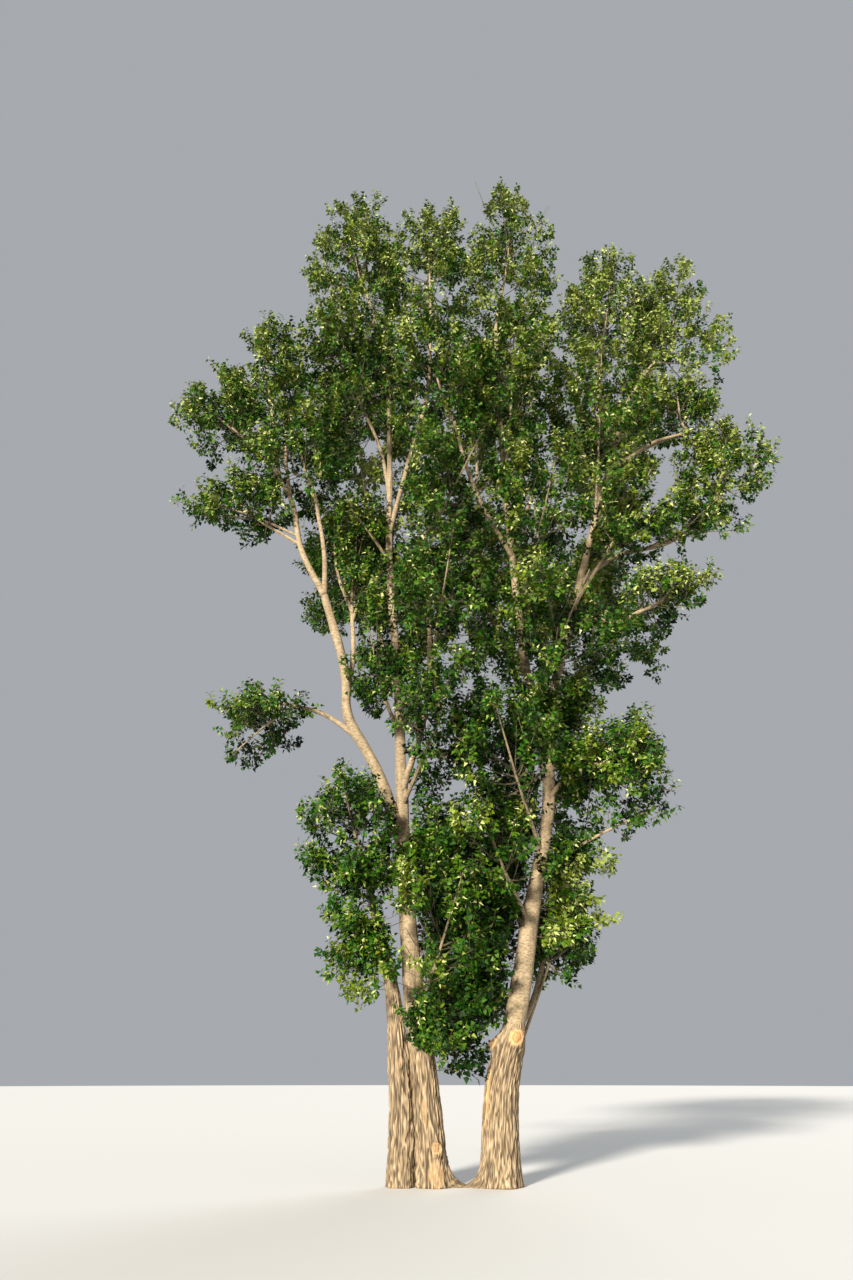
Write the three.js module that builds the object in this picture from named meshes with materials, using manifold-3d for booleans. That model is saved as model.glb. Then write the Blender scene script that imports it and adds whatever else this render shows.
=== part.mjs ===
// A tall poplar with three stems from one root, in full summer leaf.
// Millimetres, +Z up. The origin is on the flat ground cut under the right stem, which is the thickest.
// -Y is the side that the sun stands on, and +X is the side that the right stem leans to.
import * as THREE from "three";
import { mergeVertices } from "three/addons/utils/BufferGeometryUtils.js";
import Module from "manifold-3d";

const wasm = await Module();
wasm.setup();

const METRE = 1000;
const UP = new THREE.Vector3(0, 0, 1);

// Millimetres between two pieces where one grows from the other
const SEAM = 0.3;
// Millimetres that twigs and leaves keep clear of the limbs and of other masses' stems
const LEAF_CLEARANCE = 20;
// Millimetres between the spaces of two masses that would run into each other
const MASS_GAP = 30;
// The spaces are drawn a little larger than the foliage, which never quite fills a round space
const FULLNESS = 1.1;
// Vertices closer than this are one vertex
const WELD = 1e-3;

// Root flare of a stem: the share that it widens by at the ground, and the height in which that fades
const FLARE = { share: 0.2, height: 0.38 * METRE, lobes: 5, lobeDepth: 0.35 };
// A low root that runs along the ground from one foot to the next
const SURFACE_ROOT = { reach: 0.34 * METRE, height: 0.1 * METRE, sharpness: 14 };

const STEM_SIDES = 12;
const BOUGH_SIDES = 7;
const TWIG_SIDES = 3;
const RING_SPACING = 1.5 * METRE;
// The root flare of a stem is drawn by so many rings more
const FLARE_RINGS = 6;
const FEWEST_BOUGH_RINGS = 3;
// A bough swells by this share where it leaves its parent, and the swelling fades in so many radii
const COLLAR = { share: 0.3, radii: 4 };

// A leaf stands for a spray of real leaves, which are 0.11 m long. It is tried at each size until it fits.
const LEAF = { length: 1.6 * METRE, width: 0.8, thickness: 0.025, widest: 0.42 };
const LEAF_SIZES = [1, 0.84, 0.7, 0.56, 0.44];
// A leaf on the side of a twig leaves it at an angle between these, in radians
const LEAF_SPREAD = { least: 0.85, most: 1.25 };
// Leaves stand on the stretch of a twig between these shares of its length
const TWIG = {
  radii: [32, 22],
  leafSpacing: 0.56 * METRE,
  shortest: 0.25 * METRE,
  firstLeaf: 0.25,
  lastLeaf: 0.9,
};
// The stem of a mass runs straight out of a tip, bends upward at a share of the way in from its foot,
// and bears its highest twig at a share of its length
const MASS_STEM = {
  radii: [60, 46],
  rings: 3,
  straightStart: 0.15 * METRE,
  bend: 0.62,
  leastRise: 0.1 * METRE,
  highestTwig: 0.86,
  topLeaf: 0.95,
};
// Twigs in a mass: the least, and how many more for each metre of its space's mean half size
const MASS_TWIGS = { least: 1.8, perMetre: 2.1 };
// Lowest and highest slope of the twigs in a mass, in radians from level, and how far each may stray
const TWIG_RISE = { low: 0.3, high: 1.05 };
const TWIG_STRAY = 0.3;
// Leaves show their faces outward, turned either way by up to half of this
const BLADE_TURN = 0.8;
// The twig that grows away from the middle of the tree, counted from the lowest, which is 0
const OUTWARD_TWIG = 2;
// Half sizes of the crown, which is wider than it is deep
const CROWN = { halfWidth: 7.3 * METRE, halfDepth: 4.6 * METRE };
// The distance by which a search for the edge of a space goes on
const SEARCH_STEP = 0.05 * METRE;

// Stems. A course is [x, y, z] and a girth is [height, diameter], all in metres.
const STEMS = {
  stem_right: {
    course: [
      [0, 0, 0], [0.06, 0, 1.4], [0.33, 0, 2.5], [0.82, 0, 4.75], [1.21, 0, 6.5], [1.33, 0, 8.6],
    ],
    girths: [
      [0, 0.64], [1.4, 0.61], [2.1, 0.56], [2.5, 0.42], [4.7, 0.34], [5.8, 0.27], [8.6, 0.23],
    ],
    surfaceRoot: Math.PI,
    colour: "#b5a187",
  },
  stem_middle: {
    course: [
      [-1.15, 0, 0], [-1.3, 0, 1.6], [-1.55, 0, 3.45], [-1.75, 0, 6.25], [-1.9, 0, 9.4],
      [-2.15, 0, 12.6], [-2.2, 0, 15.6], [-2.32, 0, 17.85], [-2.77, 0, 20.6],
    ],
    girths: [
      [0, 0.54], [1.6, 0.46], [3.4, 0.38], [6.3, 0.26], [8.2, 0.22], [12.6, 0.16], [20.6, 0.1],
    ],
    surfaceRoot: 0,
    colour: "#b09c83",
  },
  stem_left: {
    course: [[-1.71, 0, 0], [-1.74, 0, 1.4], [-1.92, -0.05, 3.1], [-2.45, -0.3, 5.2]],
    girths: [[0, 0.43], [1.4, 0.39], [3.1, 0.25], [5.2, 0.14]],
    surfaceRoot: null,
    colour: "#a3917a",
  },
};

// Boughs. Each leaves its parent at a share of the parent's length and runs through its bends to its tip.
const BOUGHS = {
  leader_inner: {
    parent: "stem_right", along: 0.985, girth: [0.19, 0.1], colour: "#c4b496",
    bends: [[0.97, -0.1, 9.4], [0.78, -0.3, 11.5], [0.62, -0.4, 15.0]],
    tip: [0.6, -0.4, 19.6],
  },
  leader_outer: {
    parent: "stem_right", along: 0.985, girth: [0.21, 0.11], colour: "#c9b999",
    bends: [[1.79, 0, 10.2], [2.5, -0.1, 12.6], [3.06, -0.15, 14.45]],
    tip: [3.85, -0.3, 17.0],
  },
  leader_outer_left: {
    parent: "leader_outer", along: 0.63, girth: [0.13, 0.09], colour: "#c4b496",
    bends: [[3.15, 0.1, 15.9]],
    tip: [3.42, 0.2, 18.9],
  },
  bough_right_low: {
    parent: "leader_outer", along: 0.4, girth: [0.11, 0.08], colour: "#bba98a",
    bends: [[3.1, -0.4, 12.4], [4.3, -0.7, 12.6]],
    tip: [5.3, -0.9, 13.3],
  },
  bough_right_high: {
    parent: "leader_outer", along: 0.76, girth: [0.1, 0.08], colour: "#bba98a",
    bends: [[4.4, -0.35, 15.8]],
    tip: [5.15, -0.45, 16.0],
  },
  bough_right_drooping: {
    parent: "leader_outer", along: 0.24, girth: [0.1, 0.08], colour: "#bba98a",
    bends: [[2.3, -0.5, 10.75], [2.82, -0.8, 10.45]],
    tip: [3.3, -1.0, 10.6],
  },
  bough_right_foot: {
    parent: "stem_right", along: 0.79, girth: [0.1, 0.08], colour: "#bba98a",
    bends: [[1.63, -0.3, 7.15]],
    tip: [2.05, -0.5, 7.3],
  },
  bough_left: {
    parent: "stem_middle", along: 0.285, girth: [0.25, 0.17], colour: "#bfae8e",
    bends: [[-2.34, -0.2, 7.4], [-2.93, -0.4, 8.45], [-3.02, -0.5, 9.4]],
    tip: [-3.57, -0.7, 11.3],
  },
  bough_left_outer: {
    parent: "bough_left", along: 0.98, girth: [0.14, 0.09], colour: "#bfae8e",
    bends: [[-4.1, -0.8, 12.3], [-4.48, -0.8, 13.8]],
    tip: [-5.5, -0.75, 15.45],
  },
  bough_left_inner: {
    parent: "bough_left", along: 0.98, girth: [0.12, 0.08], colour: "#bfae8e",
    bends: [[-3.55, -0.95, 12.0]],
    tip: [-3.8, -1.1, 13.4],
  },
  bough_left_back: {
    parent: "bough_left", along: 0.55, girth: [0.13, 0.09], colour: "#b3a184",
    bends: [[-2.9, -0.15, 9.9]],
    tip: [-3.0, 0.1, 11.35],
  },
  bough_left_low: {
    parent: "bough_left", along: 0.4, girth: [0.11, 0.08], colour: "#b3a184",
    bends: [[-3.43, -0.45, 8.46]],
    tip: [-4.2, -0.6, 8.62],
  },
  bough_middle_front: {
    parent: "stem_middle", along: 0.645, girth: [0.12, 0.08], colour: "#d2c2a2",
    bends: [[-1.68, -0.5, 15.2], [-1.28, -0.8, 16.8]],
    tip: [-1.15, -0.4, 20.2],
  },
  bough_middle_left: {
    parent: "stem_middle", along: 0.7, girth: [0.1, 0.08], colour: "#c4b496",
    bends: [[-2.45, 0.15, 16.0]],
    tip: [-2.8, 0.15, 17.0],
  },
  bough_middle_right: {
    parent: "stem_middle", along: 0.335, girth: [0.13, 0.08], colour: "#a89679",
    bends: [[-1.3, -0.6, 8.4], [-1.2, -0.95, 10.0]],
    tip: [-1.3, -1.05, 12.4],
  },
  bough_inner_left: {
    parent: "leader_inner", along: 0.36, girth: [0.11, 0.08], colour: "#d2c2a2",
    bends: [[-0.05, -1.0, 13.6], [-0.42, -1.25, 14.7]],
    tip: [-0.55, -1.3, 15.4],
  },
  bough_back_left: {
    parent: "stem_middle", along: 0.44, girth: [0.14, 0.09], colour: "#9c8b70",
    bends: [[-2.4, 1.3, 11.2], [-2.8, 2.3, 13.8]],
    tip: [-3.0, 2.7, 16.4],
  },
  bough_back_middle: {
    parent: "stem_right", along: 0.93, girth: [0.15, 0.09], colour: "#9c8b70",
    bends: [[0.8, 1.2, 10.2], [0.3, 2.4, 13.2]],
    tip: [0.2, 2.9, 17.0],
  },
  bough_back_right: {
    parent: "leader_outer", along: 0.2, girth: [0.14, 0.09], colour: "#9c8b70",
    bends: [[2.3, 1.1, 11.6], [3.3, 2.2, 13.6]],
    tip: [3.8, 2.6, 15.8],
  },
};

// Foliage masses. Each has a host limb and the share of its length where the mass's stem starts,
// the middle of its space and the half sizes of that space, in metres. A share of 1 is the limb's tip.
const MASSES = {
  foliage_top_left: { host: "stem_middle", along: 1, middle: [-3.4, 0, 22.9], half: [1.25, 1.6, 2.8] },
  foliage_top_middle: {
    host: "bough_middle_front", along: 1, middle: [-1.2, 0.1, 23.2], half: [1.2, 1.6, 2.6],
  },
  foliage_top_peak: {
    host: "leader_inner", along: 1, middle: [1.15, -0.4, 23.0], half: [1.25, 1.5, 2.85],
  },
  foliage_top_right: {
    host: "leader_outer_left", along: 1, middle: [3.8, -0.1, 20.7], half: [1.25, 1.6, 2.4],
  },
  foliage_top_right_outer: {
    host: "leader_outer", along: 1, middle: [5.65, 0, 20.2], half: [1.25, 1.5, 2.5],
  },
  foliage_left_shoulder: {
    host: "bough_left_outer", along: 0.72, middle: [-5.6, 0.2, 18.7], half: [1.15, 1.4, 2.0],
  },
  foliage_left_outer: {
    host: "bough_left_outer", along: 1, middle: [-6.4, -0.6, 16.2], half: [1.1, 1.3, 1.5],
  },
  foliage_left_lateral: {
    host: "bough_left_outer", along: 0.3, middle: [-5.6, -0.9, 13.4], half: [1.15, 1.2, 1.2],
  },
  foliage_left_inner: {
    host: "bough_left_inner", along: 1, middle: [-4.3, -1.1, 14.9], half: [1.3, 1.6, 2],
  },
  foliage_left_gap: { host: "bough_left_back", along: 1, middle: [-3.0, 0.4, 12.9], half: [1.05, 1.6, 2] },
  foliage_left_stem: {
    host: "stem_middle", along: 0.385, middle: [-2.4, -0.7, 9.7], half: [0.65, 1.35, 1.7],
  },
  foliage_left_low: {
    host: "bough_left_low", along: 1, middle: [-4.65, -0.6, 8.0], half: [1.05, 1.3, 1.15],
  },
  foliage_left_under: { host: "stem_left", along: 1, middle: [-2.75, -0.7, 6.1], half: [0.9, 1.45, 1.4] },
  foliage_upper_left: {
    host: "bough_middle_left", along: 1, middle: [-3.3, -0.9, 17.6], half: [1.45, 1.85, 2.35],
  },
  foliage_upper_middle: {
    host: "bough_inner_left", along: 1, middle: [-1.1, -1.5, 16.9], half: [1.35, 1.85, 2.25],
  },
  foliage_upper_centre: {
    host: "leader_inner", along: 0.55, middle: [0.85, -1.6, 16.8], half: [1.35, 1.85, 2.35],
  },
  foliage_upper_right: {
    host: "leader_outer", along: 0.6, middle: [2.85, -1.5, 15.6], half: [1.35, 1.7, 2],
  },
  foliage_right_high: {
    host: "bough_right_high", along: 1, middle: [5.15, -0.5, 16.8], half: [1.1, 1.2, 1.1],
  },
  foliage_right_outer: {
    host: "bough_right_low", along: 1, middle: [5.95, -0.6, 14.8], half: [1.15, 1.3, 1.5],
  },
  foliage_right_lateral: {
    host: "bough_right_low", along: 0.5, middle: [4.7, -1.5, 12.6], half: [1.3, 1.1, 0.9],
  },
  foliage_right_inner: {
    host: "leader_outer", along: 0.33, middle: [3.25, -1.5, 12.8], half: [1.15, 1.7, 1.5],
  },
  foliage_right_drooping: {
    host: "bough_right_drooping", along: 1, middle: [3.95, -1.0, 10.9], half: [1.15, 1.1, 0.9],
  },
  foliage_middle_high: {
    host: "bough_middle_right", along: 1, middle: [-0.6, -1.9, 13.3], half: [1.2, 1.85, 1.8],
  },
  foliage_middle: {
    host: "bough_middle_right", along: 0.45, middle: [-0.9, -2.0, 10.6], half: [1.15, 1.85, 1.5],
  },
  foliage_middle_low: {
    host: "stem_middle", along: 0.32, middle: [-0.95, -1.8, 8.0], half: [1, 1.7, 1.5],
  },
  foliage_right_stem_high: {
    host: "leader_inner", along: 0.24, middle: [1.3, -2.0, 12.6], half: [1.15, 1.85, 1.8],
  },
  foliage_fork: { host: "leader_inner", along: 0.06, middle: [1.5, -1.9, 9.6], half: [1.6, 1.85, 1.7] },
  foliage_right_stem: {
    host: "stem_right", along: 0.66, middle: [0.3, -1.7, 7.1], half: [1.05, 1.6, 1.45],
  },
  foliage_right_stem_low: {
    host: "stem_right", along: 0.5, middle: [0.0, -1.3, 5.4], half: [0.9, 1.45, 1.2],
  },
  foliage_right_foot: {
    host: "bough_right_foot", along: 1, middle: [2.6, -0.7, 6.9], half: [1.1, 1.45, 1.7],
  },
  foliage_between_stems: {
    host: "stem_middle", along: 0.13, middle: [-0.9, -1.0, 4.0], half: [1, 1.35, 2.6],
  },
  foliage_sucker: { host: "stem_right", along: 0.15, middle: [1.4, 0.9, 4.2], half: [0.75, 1.1, 1.25] },
  foliage_back_left_high: {
    host: "bough_back_left", along: 1, middle: [-3.4, 2.9, 19.2], half: [1.6, 1.7, 2.4],
  },
  foliage_back_left: {
    host: "bough_back_left", along: 0.4, middle: [-3.1, 3.1, 14.0], half: [1.95, 2.2, 2.25],
  },
  foliage_back_middle_high: {
    host: "bough_back_middle", along: 1, middle: [0.3, 3.0, 20.2], half: [1.7, 1.8, 2.7],
  },
  foliage_back_middle: {
    host: "bough_back_middle", along: 0.4, middle: [0.0, 2.9, 13.6], half: [1.95, 2.2, 2.7],
  },
  foliage_back_right_high: {
    host: "bough_back_right", along: 1, middle: [4.3, 2.7, 18.0], half: [1.5, 1.7, 2.2],
  },
  foliage_back_right: {
    host: "bough_back_right", along: 0.3, middle: [3.0, 2.8, 12.0], half: [1.95, 2.05, 2.25],
  },
};

// Leaf colours, from the shaded foot of the crown to its sunlit top
const LEAF_COLOUR = {
  low: new THREE.Color("#2c4a1c"),
  high: new THREE.Color("#6d7a35"),
  top: 24 * METRE,
};
const ROUGHNESS = { bark: 0.9, leaves: 0.6 };

function metres(place) {
  return new THREE.Vector3(...place).multiplyScalar(METRE);
}

// The same rule gives the same numbers from the same seed everywhere
function seededRandom(seed) {
  let state = Math.imul(seed, 2654435761) >>> 0;
  return () => {
    state = (Math.imul(state, 1664525) + 1013904223) >>> 0;
    return state / 4294967296;
  };
}

function solidFrom(geometry) {
  geometry.deleteAttribute("normal");
  geometry.deleteAttribute("uv");
  const welded = mergeVertices(geometry, WELD);
  return new wasm.Manifold(new wasm.Mesh({
    numProp: 3,
    vertProperties: welded.attributes.position.array,
    triVerts: new Uint32Array(welded.index.array),
  }));
}

// Moves each vertex of a geometry to where the rule puts it, and returns the solid
function shaped(geometry, rule) {
  const position = geometry.attributes.position;
  const point = new THREE.Vector3();
  for (let i = 0; i < position.count; i += 1) {
    point.fromBufferAttribute(position, i);
    const placed = rule(point);
    position.setXYZ(i, placed.x, placed.y, placed.z);
  }
  return solidFrom(geometry);
}

// The value at a height in a list of [height, value] pairs
function between(pairs, height) {
  const next = pairs.findIndex((pair) => pair[0] >= height);
  if (next <= 0) return pairs[next === 0 ? 0 : pairs.length - 1][1];
  const [h0, v0] = pairs[next - 1];
  const [h1, v1] = pairs[next];
  return THREE.MathUtils.lerp(v0, v1, (height - h0) / (h1 - h0));
}

function largestBody(solid) {
  return solid.decompose().reduce((a, b) => (a.volume() > b.volume() ? a : b));
}

// A stem's radius at a height and a direction, with its root flare and its surface root
function stemRadius(stem, height, angle) {
  const plain = (between(stem.girths, height / METRE) * METRE) / 2;
  const lobe = 1 + FLARE.lobeDepth * Math.cos(FLARE.lobes * angle + stem.course[0][0]);
  const flare = plain * FLARE.share * lobe * Math.exp(-height / FLARE.height);
  if (stem.surfaceRoot === null) return plain + flare;
  const facing = Math.max(0, Math.cos(angle - stem.surfaceRoot)) ** SURFACE_ROOT.sharpness;
  return plain + flare + SURFACE_ROOT.reach * facing * Math.exp(-height / SURFACE_ROOT.height);
}

// A stem is level rings on its course, closer together near the ground
function stemSolid(stem, grown) {
  const top = metres(stem.course.at(-1)).z;
  const rings = Math.round(top / RING_SPACING) + FLARE_RINGS;
  const geometry = new THREE.CylinderGeometry(1, 1, 1, STEM_SIDES, rings);
  return shaped(geometry, (point) => {
    const height = top * (point.y + 0.5) ** 2;
    const centre = pointAtHeight(stem.curve, height);
    const angle = Math.atan2(-point.z, point.x);
    const slope = stemRadius(stem, height, angle) - stemRadius(stem, height + 1, angle);
    const wall = stemRadius(stem, height, angle) + grown * Math.hypot(1, slope);
    const radius = Math.hypot(point.x, point.z) * wall;
    const end = height === top ? grown : 0;
    return new THREE.Vector3(
      centre.x + radius * Math.cos(angle),
      centre.y + radius * Math.sin(angle),
      height + end,
    );
  });
}

// Where a curve that rises all the way passes a height
function pointAtHeight(curve, height) {
  let low = 0;
  let high = 1;
  for (let step = 0; step < 30; step += 1) {
    const middle = (low + high) / 2;
    if (curve.getPoint(middle).z < height) low = middle;
    else high = middle;
  }
  return curve.getPoint((low + high) / 2);
}

// A place on a ring square to a curve, from its position on the unit circle
function onRing(curve, frames, rings, ring, point, radius) {
  return curve
    .getPointAt(ring / rings)
    .addScaledVector(frames.normals[ring], point.x * radius)
    .addScaledVector(frames.binormals[ring], -point.z * radius);
}

// A bough is rings square to its curve, swollen at its foot
function boughSolid(curve, radii, rings, grown) {
  const frames = curve.computeFrenetFrames(rings, false);
  const length = curve.getLength();
  const geometry = new THREE.CylinderGeometry(1, 1, 1, BOUGH_SIDES, rings);
  return shaped(geometry, (point) => {
    const ring = Math.round((point.y + 0.5) * rings);
    const along = ring / rings;
    const swelling = COLLAR.share * Math.exp((-along * length) / (COLLAR.radii * radii[0]));
    const radius = THREE.MathUtils.lerp(radii[0], radii[1], along) * (1 + swelling) + grown;
    const end = ring === 0 ? -grown : ring === rings ? grown : 0;
    return onRing(curve, frames, rings, ring, point, radius).addScaledVector(frames.tangents[ring], end);
  });
}

function near(a, b, distance) {
  const boxA = a.boundingBox();
  const boxB = b.boundingBox();
  return [0, 1, 2].every(
    (i) => boxA.min[i] - distance < boxB.max[i] && boxB.min[i] - distance < boxA.max[i],
  );
}

// What is left of a new limb outside everything that stands already, with the seam between
function cutBy(solid, limbs) {
  const cut = limbs
    .filter((limb) => near(solid, limb.grown, 0))
    .reduce((left, limb) => left.subtract(limb.grown), solid);
  return largestBody(cut);
}

function makeStems() {
  const stems = new Map();
  for (const [name, stem] of Object.entries(STEMS)) {
    stem.curve = new THREE.CatmullRomCurve3(stem.course.map(metres), false, "centripetal");
    const solid = cutBy(stemSolid(stem, 0), [...stems.values()]);
    const grown = stemSolid(stem, SEAM / Math.cos(Math.PI / STEM_SIDES));
    stems.set(name, { curve: stem.curve, solid, grown, endWay: UP, colour: stem.colour });
  }
  return stems;
}

function addBoughs(limbs) {
  for (const [name, bough] of Object.entries(BOUGHS)) {
    const start = limbs.get(bough.parent).curve.getPointAt(bough.along);
    const course = [start, ...bough.bends.map(metres), metres(bough.tip)];
    const curve = new THREE.CatmullRomCurve3(course, false, "centripetal");
    const radii = bough.girth.map((girth) => (girth * METRE) / 2);
    const rings = Math.max(FEWEST_BOUGH_RINGS, Math.round(curve.getLength() / RING_SPACING));
    const whole = boughSolid(curve, radii, rings, 0);
    const grown = boughSolid(curve, radii, rings, SEAM / Math.cos(Math.PI / BOUGH_SIDES));
    const solid = cutBy(whole, [...limbs.values()]);
    limbs.set(name, { curve, solid, grown, endWay: curve.getTangentAt(1), colour: bough.colour });
  }
}

// A mass's space: an ellipsoid, cut by a plane between it and each neighbour that it would run into
function makeSpace(mass, others) {
  const middle = metres(mass.middle);
  const half = metres(mass.half).multiplyScalar(FULLNESS);
  const extent = (halves, way) => new THREE.Vector3().copy(halves).multiply(way).length();
  const planes = [];
  for (const other of others) {
    const way = metres(other.middle).sub(middle);
    const distance = way.length();
    way.normalize();
    const own = extent(half, way);
    const its = extent(metres(other.half).multiplyScalar(FULLNESS), way);
    if (own + its < distance - MASS_GAP) continue;
    planes.push({ way, reach: (distance * own) / (own + its) - MASS_GAP / 2 });
  }
  const holds = (point) => {
    const offset = new THREE.Vector3().subVectors(point, middle);
    if (planes.some((plane) => offset.dot(plane.way) > plane.reach)) return false;
    return offset.divide(half).length() < 1;
  };
  return { middle, half, holds };
}

// How far one can go from a point in a direction before leaving the space
function reachInside(space, from, way) {
  const ahead = new THREE.Vector3().copy(from).addScaledVector(way, SEARCH_STEP);
  let reach = 0;
  while (space.holds(ahead)) {
    reach += SEARCH_STEP;
    ahead.addScaledVector(way, SEARCH_STEP);
  }
  return reach;
}

// The stem of a mass runs from its host into the space and up to near its top. On a tip it starts
// a seam's width beyond the end. On the side of a limb it starts at the middle, to be cut back to the bark.
function massCurve(mass, space, host) {
  const foot = host.curve.getPointAt(mass.along);
  const places = [foot];
  if (mass.along === 1) {
    foot.addScaledVector(host.endWay, SEAM);
    places.push(new THREE.Vector3().copy(foot).addScaledVector(host.endWay, MASS_STEM.straightStart));
  }
  const inward = new THREE.Vector3().subVectors(foot, space.middle);
  const reach = Math.min(inward.length(), space.half.x, space.half.z);
  inward.setLength(MASS_STEM.bend * reach);
  places.push(new THREE.Vector3().addVectors(space.middle, inward));
  const upward = reachInside(space, space.middle, UP);
  const top = Math.max(MASS_STEM.leastRise, upward - LEAF.length);
  places.push(new THREE.Vector3().copy(space.middle).addScaledVector(UP, top));
  return new THREE.CatmullRomCurve3(places, false, "centripetal");
}

// The way across a blade that grows one way and shows its face another, turned a little by a roll
function sideOf(way, facing, roll) {
  return new THREE.Vector3().crossVectors(way, facing).normalize().applyAxisAngle(way, roll);
}

// A leaf is a flat eight-faced blade, widest nearer to its root
function leafSolid(root, way, side, length) {
  const face = new THREE.Vector3().crossVectors(side, way);
  const halfWidth = (length * LEAF.width) / 2;
  const halfThickness = (length * LEAF.thickness) / 2;
  return shaped(new THREE.OctahedronGeometry(1), (point) => {
    const along = point.y < -0.5 ? 0 : point.y > 0.5 ? length : length * LEAF.widest;
    return new THREE.Vector3()
      .copy(root)
      .addScaledVector(way, along)
      .addScaledVector(side, point.x * halfWidth)
      .addScaledVector(face, point.z * halfThickness);
  });
}

// A three-sided rod along a curve that widens at its end into a leaf, as one closed form
function rodWithLeaf(curve, frames, rings, radii, leafLength) {
  const widestRing = rings + 1;
  const tip = rings + 2;
  const geometry = new THREE.ConeGeometry(1, 1, TWIG_SIDES, tip);
  // Half the width of the rod's section and its whole depth, for a radius of one
  const halfWidth = Math.sin((2 * Math.PI) / TWIG_SIDES);
  const depth = 1 - Math.cos((2 * Math.PI) / TWIG_SIDES);
  const end = curve.getPointAt(1);
  const onward = frames.tangents[rings];
  return shaped(geometry, (point) => {
    const ring = Math.round((point.y + 0.5) * tip);
    if (ring === tip) return new THREE.Vector3().copy(end).addScaledVector(onward, leafLength);
    const unit = point.clone().divideScalar(1 - ring / tip);
    if (ring < widestRing) {
      const radius = THREE.MathUtils.lerp(radii[0], radii[1], ring / rings);
      return onRing(curve, frames, rings, ring, unit, radius);
    }
    return new THREE.Vector3()
      .copy(end)
      .addScaledVector(onward, leafLength * LEAF.widest)
      .addScaledVector(frames.normals[rings], ((unit.x / halfWidth) * leafLength * LEAF.width) / 2)
      .addScaledVector(frames.binormals[rings], (-unit.z / depth) * leafLength * LEAF.thickness);
  });
}

function corners(solid) {
  const mesh = solid.getMesh();
  const points = [];
  for (let i = 0; i < mesh.numVert; i += 1) {
    points.push(new THREE.Vector3().fromArray(mesh.vertProperties, i * mesh.numProp));
  }
  return points;
}

// A piece fits where all of it is in the space and clear of everything in its way
function fits(solid, space, obstacles) {
  if (!corners(solid).every(space.holds)) return false;
  const clearOf = (other) => solid.minGap(other, LEAF_CLEARANCE) >= LEAF_CLEARANCE;
  return obstacles.every((other) => !near(solid, other, LEAF_CLEARANCE) || clearOf(other));
}

// A twig that ends in a leaf at the space's edge, with the largest leaf that fits, or nothing
function fittedTwig(root, way, side, space, obstacles) {
  const reach = reachInside(space, root, way);
  const across = new THREE.Vector3().crossVectors(way, side);
  const frames = { tangents: [way, way], normals: [side, side], binormals: [across, across] };
  for (const size of LEAF_SIZES) {
    const leafLength = LEAF.length * size;
    const length = Math.max(TWIG.shortest, reach - leafLength);
    const end = new THREE.Vector3().copy(root).addScaledVector(way, length);
    const solid = rodWithLeaf(new THREE.LineCurve3(root, end), frames, 1, TWIG.radii, leafLength);
    if (!fits(solid, space, obstacles)) continue;
    const blade = leafSolid(end.addScaledVector(way, 2 * TWIG.radii[0]), way, side, leafLength / 2);
    return { root, way, side, across, length, solid, blade };
  }
  return null;
}

// A place on the straight stretches between a mass stem's rings
function onStem(curve, along) {
  const before = Math.min(Math.floor(along * MASS_STEM.rings), MASS_STEM.rings - 1);
  const ends = [before, before + 1].map((ring) => curve.getPointAt(ring / MASS_STEM.rings));
  return ends[0].lerp(ends[1], along * MASS_STEM.rings - before);
}

// The share of a mass stem's length at which it enters its space
function entryOf(space, curve) {
  const step = 0.02;
  let entry = 0;
  while (entry < MASS_STEM.highestTwig && !space.holds(onStem(curve, entry))) entry += step;
  return entry + step;
}

// The leaf at the top of a mass stem, from a little above its root, which is part of the stem
function topLeafOf(curve, frames) {
  const onward = frames.tangents[MASS_STEM.rings];
  const root = onStem(curve, 1).addScaledVector(onward, TWIG.shortest);
  return leafSolid(root, onward, frames.normals[MASS_STEM.rings], LEAF.length / 2);
}

// The twigs of a mass stand on the three faces of its stem in turn
function massTwigs(made, obstacles, random) {
  const { mass, space, curve, frames } = made;
  const bulk = Math.cbrt(mass.half[0] * mass.half[1] * mass.half[2]);
  const count = Math.round(MASS_TWIGS.least + MASS_TWIGS.perMetre * bulk);
  const entry = entryOf(space, curve);
  const topLeaf = topLeafOf(curve, frames);
  const twigs = [];
  for (let i = 0; i < count; i += 1) {
    const share = (i + 0.5) / count;
    const along = THREE.MathUtils.lerp(entry, MASS_STEM.highestTwig, share);
    const ring = Math.round(along * MASS_STEM.rings);
    const face = i - OUTWARD_TWIG;
    const turn = Math.PI + (face * 2 * Math.PI) / TWIG_SIDES + TWIG_STRAY * (random() - 0.5);
    const outward = new THREE.Vector3()
      .addScaledVector(frames.normals[ring], Math.sin(turn))
      .addScaledVector(frames.binormals[ring], -Math.cos(turn));
    const steepness = THREE.MathUtils.lerp(TWIG_RISE.low, TWIG_RISE.high, share);
    const rise = steepness + TWIG_STRAY * (random() - 0.5);
    const onward = new THREE.Vector3().copy(frames.tangents[ring]).add(UP).normalize();
    const way = new THREE.Vector3()
      .addScaledVector(outward, Math.cos(rise))
      .addScaledVector(onward, Math.sin(rise))
      .normalize();
    const side = sideOf(way, outward, BLADE_TURN * (random() - 0.5));
    const inTheWay = [...obstacles, topLeaf, ...twigs.map((other) => other.solid)];
    const twig = fittedTwig(onStem(curve, along), way, side, space, inTheWay);
    if (twig) twigs.push(twig);
  }
  return twigs;
}

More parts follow.
